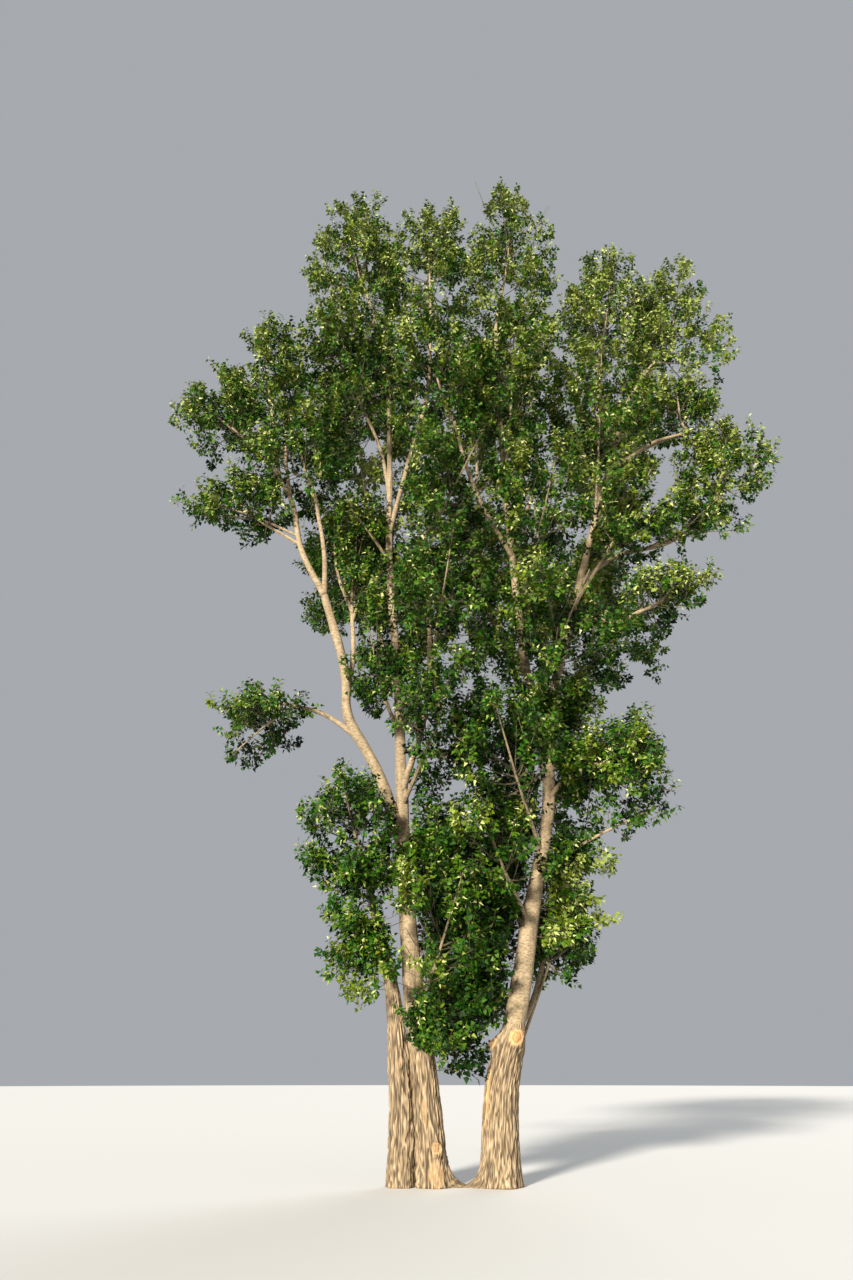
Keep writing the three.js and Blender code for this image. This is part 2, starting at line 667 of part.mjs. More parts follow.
// The leaves along a twig stand on the two faces that look sideways, each as large as fits
function sideLeaves(twig, space, obstacles, random) {
  const count = Math.max(1, Math.round(twig.length / TWIG.leafSpacing));
  const leaves = [];
  for (let i = 0; i < 2 * count; i += 1) {
    const share = THREE.MathUtils.lerp(TWIG.firstLeaf, TWIG.lastLeaf, (i + 0.5) / (2 * count));
    const root = new THREE.Vector3().copy(twig.root).addScaledVector(twig.way, share * twig.length);
    const turn = ((i % 2 ? 1 : -1) * Math.PI) / TWIG_SIDES;
    const outward = new THREE.Vector3()
      .addScaledVector(twig.side, Math.sin(turn))
      .addScaledVector(twig.across, -Math.cos(turn));
    const spread = THREE.MathUtils.lerp(LEAF_SPREAD.least, LEAF_SPREAD.most, random());
    const way = new THREE.Vector3()
      .addScaledVector(outward, Math.sin(spread))
      .addScaledVector(twig.way, Math.cos(spread))
      .normalize();
    const side = sideOf(way, twig.across, BLADE_TURN * (random() - 0.5));
    for (const size of LEAF_SIZES) {
      const leaf = leafSolid(root, way, side, LEAF.length * size);
      if (!fits(leaf, space, [...obstacles, ...leaves])) continue;
      leaves.push(leaf);
      break;
    }
  }
  return leaves;
}

// A mass is its stem, its twigs and their leaves. None touches another that it doesn't grow on.
function massSolid(made, obstacles, seed) {
  const random = seededRandom(seed);
  const twigs = massTwigs(made, obstacles, random);
  const leaves = [];
  for (const twig of twigs) {
    const otherTwigs = twigs.filter((other) => other !== twig).map((other) => other.solid);
    const inTheWay = [...obstacles, made.stem, twig.blade, ...otherTwigs, ...leaves];
    leaves.push(...sideLeaves(twig, made.space, inTheWay, random));
  }
  const pieces = [...twigs.map((twig) => twig.solid), ...leaves];
  return largestBody(pieces.reduce((all, piece) => all.add(piece), made.stem));
}

function leafColour(height) {
  const share = THREE.MathUtils.clamp(height / LEAF_COLOUR.top, 0, 1);
  return new THREE.Color().lerpColors(LEAF_COLOUR.low, LEAF_COLOUR.high, share);
}

function meshOf(name, solid, colour, roughness) {
  const made = solid.getMesh();
  const geometry = new THREE.BufferGeometry();
  geometry.setAttribute("position", new THREE.BufferAttribute(made.vertProperties, 3));
  geometry.setIndex(new THREE.BufferAttribute(made.triVerts, 1));
  geometry.computeVertexNormals();
  const material = new THREE.MeshStandardMaterial({ color: colour, roughness, metalness: 0 });
  const mesh = new THREE.Mesh(geometry, material);
  mesh.name = name;
  return mesh;
}

function makeLimbs() {
  const limbs = makeStems();
  addBoughs(limbs);
  return limbs;
}

// Turns the first ring so that it lies flat on the end of the host limb
function squareFoot(frames, endWay) {
  const normal = frames.normals[0];
  normal.addScaledVector(endWay, -normal.dot(endWay)).normalize();
  frames.binormals[0].crossVectors(endWay, normal);
}

// Turns all rings of a mass's stem so that one of its faces looks away from the middle of the tree
function turnOutward(frames, space) {
  const { halfWidth, halfDepth } = CROWN;
  const away = new THREE.Vector3(space.middle.x / halfWidth, space.middle.y / halfDepth, 0);
  const turn = Math.atan2(-away.dot(frames.normals[1]), away.dot(frames.binormals[1]));
  frames.tangents.forEach((tangent, ring) => {
    frames.normals[ring].applyAxisAngle(tangent, turn);
    frames.binormals[ring].applyAxisAngle(tangent, turn);
  });
}

// The stems of all masses stand before any twig does, so that every twig can keep clear of them
function massStems(limbs) {
  return Object.entries(MASSES).map(([name, mass]) => {
    const space = makeSpace(mass, Object.values(MASSES).filter((other) => other !== mass));
    const host = limbs.get(mass.host);
    const curve = massCurve(mass, space, host);
    const frames = curve.computeFrenetFrames(MASS_STEM.rings, false);
    turnOutward(frames, space);
    if (mass.along === 1) squareFoot(frames, host.endWay);
    const reach = reachInside(space, onStem(curve, 1), frames.tangents[MASS_STEM.rings]);
    const leafLength = MASS_STEM.topLeaf * Math.min(LEAF.length, reach);
    const whole = rodWithLeaf(curve, frames, MASS_STEM.rings, MASS_STEM.radii, leafLength);
    const stem = mass.along === 1 ? whole : largestBody(whole.subtract(host.grown));
    return { name, mass, space, curve, frames, stem };
  });
}

function makeMasses(limbs) {
  const masses = massStems(limbs);
  const limbSolids = [...limbs.values()].map((limb) => limb.solid);
  masses.forEach((made, index) => {
    const otherStems = masses.filter((other) => other !== made).map((other) => other.stem);
    made.solid = massSolid(made, [...limbSolids, ...otherStems], index + 1);
  });
  return masses;
}

const tree = new THREE.Group();
const limbs = makeLimbs();
for (const [name, limb] of limbs) {
  tree.add(meshOf(name, limb.solid, limb.colour, ROUGHNESS.bark));
}
for (const made of makeMasses(limbs)) {
  tree.add(meshOf(made.name, made.solid, leafColour(made.space.middle.z), ROUGHNESS.leaves));
}

export default tree;
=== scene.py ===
# A tall poplar with three stems from one root, in full summer leaf.
# Metres, +Z up. The origin is on the flat ground cut under the right stem.
# The limbs get bark with relief, and each mass of foliage gets its twigs and leaves by the same
# seeded rule that made its solid, carried on to finer twigs inside the same space.
import math

import bpy
import numpy as np
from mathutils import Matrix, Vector, noise


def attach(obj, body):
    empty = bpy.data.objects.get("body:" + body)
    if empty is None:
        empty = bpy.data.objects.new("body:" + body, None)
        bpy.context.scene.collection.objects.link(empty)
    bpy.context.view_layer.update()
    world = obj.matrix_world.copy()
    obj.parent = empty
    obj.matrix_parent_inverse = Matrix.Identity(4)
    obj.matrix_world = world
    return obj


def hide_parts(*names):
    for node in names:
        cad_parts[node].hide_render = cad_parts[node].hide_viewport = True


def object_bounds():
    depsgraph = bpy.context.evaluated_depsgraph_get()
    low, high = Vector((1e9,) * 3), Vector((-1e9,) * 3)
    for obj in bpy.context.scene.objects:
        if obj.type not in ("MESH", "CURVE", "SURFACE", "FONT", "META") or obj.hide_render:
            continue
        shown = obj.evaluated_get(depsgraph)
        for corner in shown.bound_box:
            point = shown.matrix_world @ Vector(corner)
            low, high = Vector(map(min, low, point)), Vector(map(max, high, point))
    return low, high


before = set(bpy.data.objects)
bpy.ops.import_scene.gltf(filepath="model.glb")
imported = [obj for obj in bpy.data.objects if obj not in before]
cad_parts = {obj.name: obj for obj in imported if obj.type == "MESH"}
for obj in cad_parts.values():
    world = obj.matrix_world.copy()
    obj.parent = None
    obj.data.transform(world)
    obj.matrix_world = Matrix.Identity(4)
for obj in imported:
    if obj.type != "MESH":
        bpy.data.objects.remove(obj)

CAD_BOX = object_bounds()
UP = np.array([0.0, 0.0, 1.0])
GOLDEN_TURN = math.pi * (3 - math.sqrt(5))

# The eye stands 17 m in front of the tree and looks up at it
EYE = (-1.27, -17.15, 1.7)
EYE_TILT = math.radians(27)
LENS_MM = 24
PICTURE_MM = 36

# Stems: courses are (x, y, z), girths are (height, diameter), and a surface root runs one way
STEMS = {
    "stem_right": {
        "course": [(0, 0, 0), (0.06, 0, 1.4), (0.33, 0, 2.5), (0.82, 0, 4.75), (1.21, 0, 6.5),
                   (1.33, 0, 8.6)],
        "girths": [(0, 0.64), (1.4, 0.61), (2.1, 0.56), (2.5, 0.42), (4.7, 0.34), (5.8, 0.27),
                   (8.6, 0.23)],
        "surface_root": math.pi,
    },
    "stem_middle": {
        "course": [(-1.15, 0, 0), (-1.3, 0, 1.6), (-1.55, 0, 3.45), (-1.75, 0, 6.25),
                   (-1.9, 0, 9.4), (-2.15, 0, 12.6), (-2.2, 0, 15.6), (-2.32, 0, 17.85),
                   (-2.77, 0, 20.6)],
        "girths": [(0, 0.54), (1.6, 0.46), (3.4, 0.38), (6.3, 0.26), (8.2, 0.22), (12.6, 0.16),
                   (20.6, 0.1)],
        "surface_root": 0.0,
    },
    "stem_left": {
        "course": [(-1.71, 0, 0), (-1.74, 0, 1.4), (-1.92, -0.05, 3.1), (-2.45, -0.3, 5.2)],
        "girths": [(0, 0.43), (1.4, 0.39), (3.1, 0.25), (5.2, 0.14)],
        "surface_root": None,
    },
}

# Boughs: parent and share of its length, girth at both ends, then bends and tip
BOUGHS = {
    "leader_inner": ("stem_right", 0.985, (0.19, 0.1),
        [(0.97, -0.1, 9.4), (0.78, -0.3, 11.5), (0.62, -0.4, 15), (0.6, -0.4, 19.6)]),
    "leader_outer": ("stem_right", 0.985, (0.21, 0.11),
        [(1.79, 0, 10.2), (2.5, -0.1, 12.6), (3.06, -0.15, 14.45), (3.85, -0.3, 17)]),
    "leader_outer_left": ("leader_outer", 0.63, (0.13, 0.09),
        [(3.15, 0.1, 15.9), (3.42, 0.2, 18.9)]),
    "bough_right_low": ("leader_outer", 0.4, (0.11, 0.08),
        [(3.1, -0.4, 12.4), (4.3, -0.7, 12.6), (5.3, -0.9, 13.3)]),
    "bough_right_high": ("leader_outer", 0.76, (0.1, 0.08),
        [(4.4, -0.35, 15.8), (5.15, -0.45, 16)]),
    "bough_right_drooping": ("leader_outer", 0.24, (0.1, 0.08),
        [(2.3, -0.5, 10.75), (2.82, -0.8, 10.45), (3.3, -1, 10.6)]),
    "bough_right_foot": ("stem_right", 0.79, (0.1, 0.08),
        [(1.63, -0.3, 7.15), (2.05, -0.5, 7.3)]),
    "bough_left": ("stem_middle", 0.285, (0.25, 0.17),
        [(-2.34, -0.2, 7.4), (-2.93, -0.4, 8.45), (-3.02, -0.5, 9.4), (-3.57, -0.7, 11.3)]),
    "bough_left_outer": ("bough_left", 0.98, (0.14, 0.09),
        [(-4.1, -0.8, 12.3), (-4.48, -0.8, 13.8), (-5.5, -0.75, 15.45)]),
    "bough_left_inner": ("bough_left", 0.98, (0.12, 0.08),
        [(-3.55, -0.95, 12), (-3.8, -1.1, 13.4)]),
    "bough_left_back": ("bough_left", 0.55, (0.13, 0.09),
        [(-2.9, -0.15, 9.9), (-3, 0.1, 11.35)]),
    "bough_left_low": ("bough_left", 0.4, (0.11, 0.08),
        [(-3.43, -0.45, 8.46), (-4.2, -0.6, 8.62)]),
    "bough_middle_front": ("stem_middle", 0.645, (0.12, 0.08),
        [(-1.68, -0.5, 15.2), (-1.28, -0.8, 16.8), (-1.15, -0.4, 20.2)]),
    "bough_middle_left": ("stem_middle", 0.7, (0.1, 0.08),
        [(-2.45, 0.15, 16), (-2.8, 0.15, 17)]),
    "bough_middle_right": ("stem_middle", 0.335, (0.13, 0.08),
        [(-1.3, -0.6, 8.4), (-1.2, -0.95, 10), (-1.3, -1.05, 12.4)]),
    "bough_inner_left": ("leader_inner", 0.36, (0.11, 0.08),
        [(-0.05, -1, 13.6), (-0.42, -1.25, 14.7), (-0.55, -1.3, 15.4)]),
    "bough_back_left": ("stem_middle", 0.44, (0.14, 0.09),
        [(-2.4, 1.3, 11.2), (-2.8, 2.3, 13.8), (-3, 2.7, 16.4)]),
    "bough_back_middle": ("stem_right", 0.93, (0.15, 0.09),
        [(0.8, 1.2, 10.2), (0.3, 2.4, 13.2), (0.2, 2.9, 17)]),
    "bough_back_right": ("leader_outer", 0.2, (0.14, 0.09),
        [(2.3, 1.1, 11.6), (3.3, 2.2, 13.6), (3.8, 2.6, 15.8)]),
}

# Foliage masses: part of the crown, host limb and share of its length, middle of the space,
# and its half sizes
MASSES = {
    "top_left": ("top", "stem_middle", 1, (-3.4, 0, 22.9), (1.25, 1.6, 2.8)),
    "top_middle": ("top", "bough_middle_front", 1, (-1.2, 0.1, 23.2), (1.2, 1.6, 2.6)),
    "top_peak": ("top", "leader_inner", 1, (1.15, -0.4, 23), (1.25, 1.5, 2.85)),
    "top_right": ("top", "leader_outer_left", 1, (3.8, -0.1, 20.7), (1.25, 1.6, 2.4)),
    "top_right_outer": ("top", "leader_outer", 1, (5.65, 0, 20.2), (1.25, 1.5, 2.5)),
    "left_shoulder": ("left", "bough_left_outer", 0.72, (-5.6, 0.2, 18.7), (1.15, 1.4, 2)),
    "left_outer": ("left", "bough_left_outer", 1, (-6.4, -0.6, 16.2), (1.1, 1.3, 1.5)),
    "left_lateral": ("left", "bough_left_outer", 0.3, (-5.6, -0.9, 13.4), (1.15, 1.2, 1.2)),
    "left_inner": ("left", "bough_left_inner", 1, (-4.3, -1.1, 14.9), (1.3, 1.6, 2)),
    "left_gap": ("left", "bough_left_back", 1, (-3, 0.4, 12.9), (1.05, 1.6, 2)),
    "left_stem": ("left", "stem_middle", 0.385, (-2.4, -0.7, 9.7), (0.65, 1.35, 1.7)),
    "left_low": ("low_left", "bough_left_low", 1, (-4.65, -0.6, 8), (1.05, 1.3, 1.15)),
    "left_under": ("low_left", "stem_left", 1, (-2.75, -0.7, 6.1), (0.9, 1.45, 1.4)),
    "upper_left": ("upper", "bough_middle_left", 1, (-3.3, -0.9, 17.6), (1.45, 1.85, 2.35)),
    "upper_middle": ("upper", "bough_inner_left", 1, (-1.1, -1.5, 16.9), (1.35, 1.85, 2.25)),
    "upper_centre": ("upper", "leader_inner", 0.55, (0.85, -1.6, 16.8), (1.35, 1.85, 2.35)),
    "upper_right": ("upper", "leader_outer", 0.6, (2.85, -1.5, 15.6), (1.35, 1.7, 2)),
    "right_high": ("right", "bough_right_high", 1, (5.15, -0.5, 16.8), (1.1, 1.2, 1.1)),
    "right_outer": ("right", "bough_right_low", 1, (5.95, -0.6, 14.8), (1.15, 1.3, 1.5)),
    "right_lateral": ("right", "bough_right_low", 0.5, (4.7, -1.5, 12.6), (1.3, 1.1, 0.9)),
    "right_inner": ("right", "leader_outer", 0.33, (3.25, -1.5, 12.8), (1.15, 1.7, 1.5)),
    "right_drooping": ("right", "bough_right_drooping", 1, (3.95, -1, 10.9), (1.15, 1.1, 0.9)),
    "middle_high": ("middle", "bough_middle_right", 1, (-0.6, -1.9, 13.3), (1.2, 1.85, 1.8)),
    "middle": ("middle", "bough_middle_right", 0.45, (-0.9, -2, 10.6), (1.15, 1.85, 1.5)),
    "middle_low": ("low_left", "stem_middle", 0.32, (-0.95, -1.8, 8), (1, 1.7, 1.5)),
    "right_stem_high": ("middle", "leader_inner", 0.24, (1.3, -2, 12.6), (1.15, 1.85, 1.8)),
    "fork": ("middle", "leader_inner", 0.06, (1.5, -1.9, 9.6), (1.6, 1.85, 1.7)),
    "right_stem": ("low_right", "stem_right", 0.66, (0.3, -1.7, 7.1), (1.05, 1.6, 1.45)),
    "right_stem_low": ("low_right", "stem_right", 0.5, (0, -1.3, 5.4), (0.9, 1.45, 1.2)),
    "right_foot": ("low_right", "bough_right_foot", 1, (2.6, -0.7, 6.9), (1.1, 1.45, 1.7)),
    "between_stems": ("low_left", "stem_middle", 0.13, (-0.9, -1, 4), (1, 1.35, 2.6)),
    "sucker": ("low_right", "stem_right", 0.15, (1.4, 0.9, 4.2), (0.75, 1.1, 1.25)),
    "back_left_high": ("back_high", "bough_back_left", 1, (-3.4, 2.9, 19.2), (1.6, 1.7, 2.4)),
    "back_left": ("back_low", "bough_back_left", 0.4, (-3.1, 3.1, 14), (1.95, 2.2, 2.25)),
    "back_middle_high": ("back_high", "bough_back_middle", 1, (0.3, 3, 20.2), (1.7, 1.8, 2.7)),
    "back_middle": ("back_low", "bough_back_middle", 0.4, (0, 2.9, 13.6), (1.95, 2.2, 2.7)),
    "back_right_high": ("back_high", "bough_back_right", 1, (4.3, 2.7, 18), (1.5, 1.7, 2.2)),
    "back_right": ("back_low", "bough_back_right", 0.3, (3, 2.8, 12), (1.95, 2.05, 2.25)),
}

# Parts of the crown, each joined into one piece of leaves and one of twigs, with the leaves' finish
CROWN_PARTS = {
    "top": "leaves_high", "left": "leaves_middle", "upper": "leaves_high", "right": "leaves_middle",
    "middle": "leaves_middle", "low_left": "leaves_low", "low_right": "leaves_low",
    "back_high": "leaves_high", "back_low": "leaves_middle",
}

# Angles round a limb, from +X
FRONT = -math.pi / 2
BACK = math.pi / 2

# Meshes of the bark: sides round each limb, and metres between rings, on a stem from foot to top
STEM_SIDES = {"stem_right": 144, "stem_middle": 112, "stem_left": 88}
STEM_RINGS = (0.03, 0.15)
BOUGH_SIDES = 16
BOUGH_RING = 0.11
LEAST_RINGS = 8
# How far the middle of a stem's top stands proud, and the bark's measures at its two end places
STEM_END = 0.05
END_MEASURES = (0.5, 0.0)
# Heights up to which a stem's bark is furrowed all over, and above which it is smooth
FURROWED = {"stem_right": (2.1, 2.7), "stem_middle": (1.7, 4.4), "stem_left": (2.4, 3.6)}
# Depth of the furrows, and how far up their walls the stem's own girth lies
FURROW_DEPTH = 0.034
GIRTH_LEVEL = 0.6
# Width and length of the bark's long ridges, and of the shorter ones between them
LONG_RIDGES = (0.036, 0.5)
SHORT_RIDGES = (0.02, 0.14)
# How wide a furrow is, how high the ridges stand, and how much that changes along them
RIDGE = {"furrow": 0.24, "height": 0.72, "change": 0.75}
# Waves in a stem's skin and knots in a bough's: height, and how close together round and along it
WAVES = {"height": 0.02, "around": 1.4, "along": 1.3}
KNOTS = {"height": 0.16, "around": 0.8, "along": 2.2}
# How far furrows eat into the edge of a mark, how fast its swelling falls off, how wide its rim
# is, and where its bare wood ends
MARK = {"ragged": 0.22, "fall": 1.3, "rim": 0.2, "edge": (0.9, 1.05)}
# Marks on the stems: height, angle from +X, half width, half height, how far the middle and the
# rim stand out, and how bare the wood is
MARKS = {
    "stem_right": [
        (2.30, FRONT + 0.22, 0.15, 0.18, 0.045, 0.035, 1.0),
        (2.20, FRONT - 1.25, 0.08, 0.15, 0.17, 0.02, 0.7),
        (1.40, FRONT - 1.0, 0.055, 0.62, -0.015, 0.022, 1.0),
    ],
    "stem_middle": [
        (0.58, FRONT + 0.35, 0.11, 0.12, 0.05, 0.04, 0.55),
        (0.20, FRONT + 0.25, 0.20, 0.26, 0.0, 0.0, 0.35),
        (3.75, FRONT - 0.9, 0.07, 0.10, 0.06, 0.0, 0.0),
        (1.10, FRONT - 0.25, 0.05, 0.30, 0.0, 0.0, 0.3),
    ],
    "stem_left": [
        (1.9, FRONT + 0.2, 0.06, 0.10, 0.03, 0.02, 0.2),
        (1.3, 0.0, 0.16, 1.3, 0.07, 0.0, 0.0),
    ],
}

# Bark colours by share: from furrow to ridge, over smooth bark, and from a cut's heart to its rim
# The dark deep in the furrows is partly the bark's own colour and partly painted shade in the
# furrows.
FURROWED_COLOURS = [
    (0.0, (0.055, 0.036, 0.018)), (0.35, (0.15, 0.105, 0.056)), (0.7, (0.27, 0.195, 0.11)),
    (1.0, (0.44, 0.33, 0.205)),
]
SMOOTH_COLOURS = [
    (0.30, (0.15, 0.105, 0.058)), (0.43, (0.255, 0.19, 0.11)), (0.64, (0.36, 0.28, 0.175)),
]
WOOD_COLOURS = [
    (0.0, (0.30, 0.15, 0.05)), (0.3, (0.50, 0.28, 0.11)), (0.55, (0.34, 0.17, 0.06)),
    (0.75, (0.56, 0.36, 0.17)), (1.0, (0.16, 0.085, 0.035)),
]
# Twig colours: the twigs' own brown bark, darkened as painted shade of the crown's inside
SHADED_TWIG_COLOURS = [(0.35, (0.05, 0.042, 0.018)), (0.65, (0.12, 0.10, 0.05))]
LICHEN = (0.29, 0.225, 0.08)
LICHEN_STOPS = [(0.56, (0.0, 0.0, 0.0)), (0.75, (0.5, 0.5, 0.5))]
GRAIN_GREYS = [(0.3, (0.26, 0.26, 0.26)), (0.7, (0.74, 0.74, 0.74))]
WEATHER_GREYS = [(0.35, (0.35, 0.35, 0.35)), (0.65, (0.65, 0.65, 0.65))]
# Grain of the bark: its stretch along each axis, how fine it is, and its detail
GRAINS = {
    "fine": ((1, 1, 0.12), 42, 4), "broad": ((1, 1, 0.35), 2.4, 4), "pores": ((1, 1, 2.2), 16, 5),
    "mottles": ((1, 1, 0.6), 9, 4), "twig": ((1, 1, 0.4), 6, 2),
}
GRAIN_SHARES = {"furrowed": 0.6, "smooth": 0.4, "weather": 0.5, "wood": 0.5}
BUMP = {"Strength": 0.35, "Distance": 0.01}
ROUGHNESS = {"bark": 0.85, "shaded_twig_bark": 0.7, "leaf": 0.5, "floor": 0.9}
LEAF_GLOSS = 0.16

# The solids' own measures of flare, collar, masses and their twigs, which the fine twigs carry on
SEAM = 0.0003
MASS_GAP = 0.03
FULLNESS = 1.1
FLARE = {"share": 0.2, "height": 0.38, "lobes": 5, "lobe_depth": 0.35, "lobe_turn": 1000}
SURFACE_ROOT = {"reach": 0.34, "height": 0.1, "sharpness": 14}
COLLAR = {"share": 0.3, "radii": 4}
SPRAY_LENGTH = 1.6
TWIG_SIDES = 3
MASS_STEM = {
    "rings": 3, "straight_start": 0.15, "bend": 0.62, "least_rise": 0.1, "highest_twig": 0.86,
}
MASS_TWIGS = {"least": 1.8, "per_metre": 2.1}
TWIG_RISE = {"low": 0.3, "high": 1.05}
TWIG_STRAY = 0.3
OUTWARD_TWIG = 2
CROWN_HALF = {"width": 7.3, "depth": 4.6}
CHANCE = {"seed": 2654435761, "times": 1664525, "plus": 1013904223, "states": 2**32}

# Finer twigs, from the stem of a mass outward. A branchlet leaves its parent every so many metres,
# at an angle to it, turned upward by a pull, and is so long unless its space ends sooner.
FINE_TWIGS = 3.0
BRANCHLET = {"spacing": 0.26, "angle": 0.95, "pull": 0.45, "length": (0.55, 1.25), "bound": True}
SHOOT = {"spacing": 0.105, "angle": 0.85, "pull": 0.7, "length": (0.24, 0.55), "bound": False}
ANGLE_SPREAD = (0.75, 1.2)
SHORTEST = 0.6
# Size of what grows at a parent's foot, and how much of it is gone at the parent's tip
TAPER = (1.1, 0.35)
# Share of the parent's length from which branchlets and shoots grow
BRANCHLETS_FROM = {"stem": 0.3, "twig": 0.2}
SHOOTS_FROM = {"stem": 0.55, "twig": 0.45, "branchlet": 0.12}
# Share of the shoots that grow in the heart of a mass, and how many more do at its edge
SHOOT_SHARES = (0.3, 0.7)
STEM_STEPS = 15
TIP_STEPS = 4
TWIG_STEPS = 6
BRANCH_STEPS = 3
TWIG_BEND = 0.3
# Twigs straight out of a limb's bark: length, spread round the way that they face, slope, and how
# far out in the limb they start
BARK_TWIG = {"length": (0.6, 1.4), "spread": 2.4, "slope": (-0.35, 0.9), "root": 0.9}
# Radius at both ends of each kind of twig, and its sides
RODS = {
    "stem": ((0.045, 0.01), 6), "twig": ((0.016, 0.006), 4), "branchlet": ((0.007, 0.0035), 3),
    "shoot": ((0.0042, 0.0025), 3),
}
SMALL_LIMB_SIDES = 8

# How much of a space's depth twigs take up, the metres by which they reach in among the next mass,
# and how uneven the edge is that they make
EDGE = 0.97
OVERLAP = 0.55
SURE_REACH = 0.92
UNEVENNESS = 0.55
# How square a mass is, where 2 is an ellipsoid, and how far the heart of one at the top is shifted
ROUND_FORM = 2
TOP_FORM = 3.4
TOP_SHIFT = np.array([0.0, 0.2, -0.5])
# Halvings in the search for a mass's skin, and the least slope at which a line meets a plane
HALVINGS = 16
LEAST_SLOPE = 1e-6
# Turn and bend under which a line counts as straight
LEAST_TURN = 1e-9
LEAST_BEND = 1e-3
# Room that is left for shoots at the edge of a space, across, in depth and upward
SHOOT_ROOM = np.array([0.14, 0.2, 0.5])
# Places tried along a mass's stem for where it enters its space, and how far in its twigs begin
ENTRY_TRIALS = 51
ENTRY_DEPTH = 0.02
# Lowest slope of the fine twigs, which fill the foot of a mass too
FINE_RISE_LOW = -0.6
# Share of each side of the tree's box by which shoots may pass it
BOX_MARGIN = 0.014
# Metres between shoots and a limb's bark, and between the places that stand for a limb
LIMB_GAP = 0.06
LIMB_STEP = 0.2

# Leaves, as on the real tree: a long stalk and a three-cornered blade folded on its midrib
LEAF = {
    "length": (0.085, 0.125), "width": 1.0, "stalk": 0.42, "stalk_half": 0.004, "fold": 0.1,
    "curl": 0.1,
}
LEAVES_ON_SHOOT = 14
FIRST_LEAF = 0.1
# The widest place of a blade, as shares of its length and width
BLADE = (0.16, 0.5)
# What turns a stalk (its shoot's way, outward and up), a blade (its stalk's way, up and chance)
# and a blade's face (up, away from the heart of its mass, to the sun and chance)
STALK_TURN = (0.55, 0.85, 0.15)
BLADE_TURN = (0.7, -0.35, 0.8)
FACE_TURN = (0.35, 0.35, 0.3, 1.3)
# Leaves that glint: share of all, how many tints paler they are, and how wide they look
GLINT = {"share": 0.22, "step": 3, "width": 0.55}

# Share that strays before a bare limb or gap, metres between the places that stand for the limb,
# how far behind it sprays may show, and a height above any skyline
STRAY_SHARE = 0.12
SIGHT_STEP = 0.1
BEHIND = 0.1
NO_SKYLINE = 99

# Stretches of each limb that stand bare before the foliage: lowest and highest height, and clear
# width to each side of its middle
BARE_STRETCHES = {
    "stem_left": [(0.0, 2.9, 0.30)],
    "stem_middle": [
        (0.0, 1.7, 0.36), (3.1, 4.2, 0.34), (5.9, 6.4, 0.14), (6.9, 9.0, 0.14), (10.0, 14.7, 0.11),
    ],
    "stem_right": [(0.0, 2.5, 0.42), (2.5, 5.1, 0.24), (5.5, 7.5, 0.16)],
    "bough_left": [(6.8, 11.3, 0.24)],
    "bough_left_outer": [(11.3, 14.1, 0.18)],
    "bough_left_back": [(9.6, 11.4, 0.14)],
    "bough_left_inner": [(11.3, 12.6, 0.10)],
    "leader_inner": [(9.2, 9.7, 0.14), (11.3, 11.7, 0.12), (13.2, 13.9, 0.12), (15.0, 15.5, 0.12)],
    "leader_outer": [(9.2, 9.8, 0.14), (11.3, 14.3, 0.15), (14.8, 16.3, 0.12)],
    "bough_right_low": [(12.2, 12.7, 0.08)],
    "bough_right_high": [(14.9, 16.0, 0.08)],
    "bough_middle_front": [(14.6, 18.9, 0.08)],
    "bough_inner_left": [(12.4, 15.2, 0.12)],
    "bough_middle_right": [(9.2, 10.6, 0.08)],
}
# Stretches that the sun falls on, in the same order, and how far towards it no shoot shades them
SUNLIT_STRETCHES = {
    "stem_middle": (3.3, 4.3, 0.17),
    "stem_right": (5.0, 7.6, 0.2),
    "leader_outer": (11.3, 14.3, 0.14),
    "leader_inner": (11.2, 13.9, 0.1),
}
SHADE_REACH = 2.6
# Sky seen through the crown, as (x, z) where the line of sight passes the plane of the stems,
# and half sizes across and up
SKY_GAPS = [
    (4.55, 14.9, 0.36, 0.34),
    (2.75, 23.1, 0.22, 1.1),
    (1.15, 19.5, 0.14, 0.3),
    (0.25, 19.8, 0.12, 0.3),
    (1.9, 18.4, 0.14, 0.25),
    (3.15, 17.0, 0.16, 0.25),
    (-0.45, 10.4, 0.14, 0.5),
    (0.2, 8.2, 0.14, 0.25),
    (-2.3, 10.5, 0.35, 0.25),
]

# The crown's skyline against the sky, as (x, z) like the gaps
SKYLINE = [
    (-4.9, 21.5), (-4.6, 23.5), (-4.4, 25.4), (-2.85, 25.9), (-1.75, 24.8), (-0.7, 25.7),
    (0.05, 23.7), (0.9, 25.9), (1.35, 26.8), (1.9, 25.0), (2.5, 24.1), (2.7, 21.7), (3.8, 23.4),
    (6.4, 22.8), (6.85, 20.9), (6.95, 19.0),
]

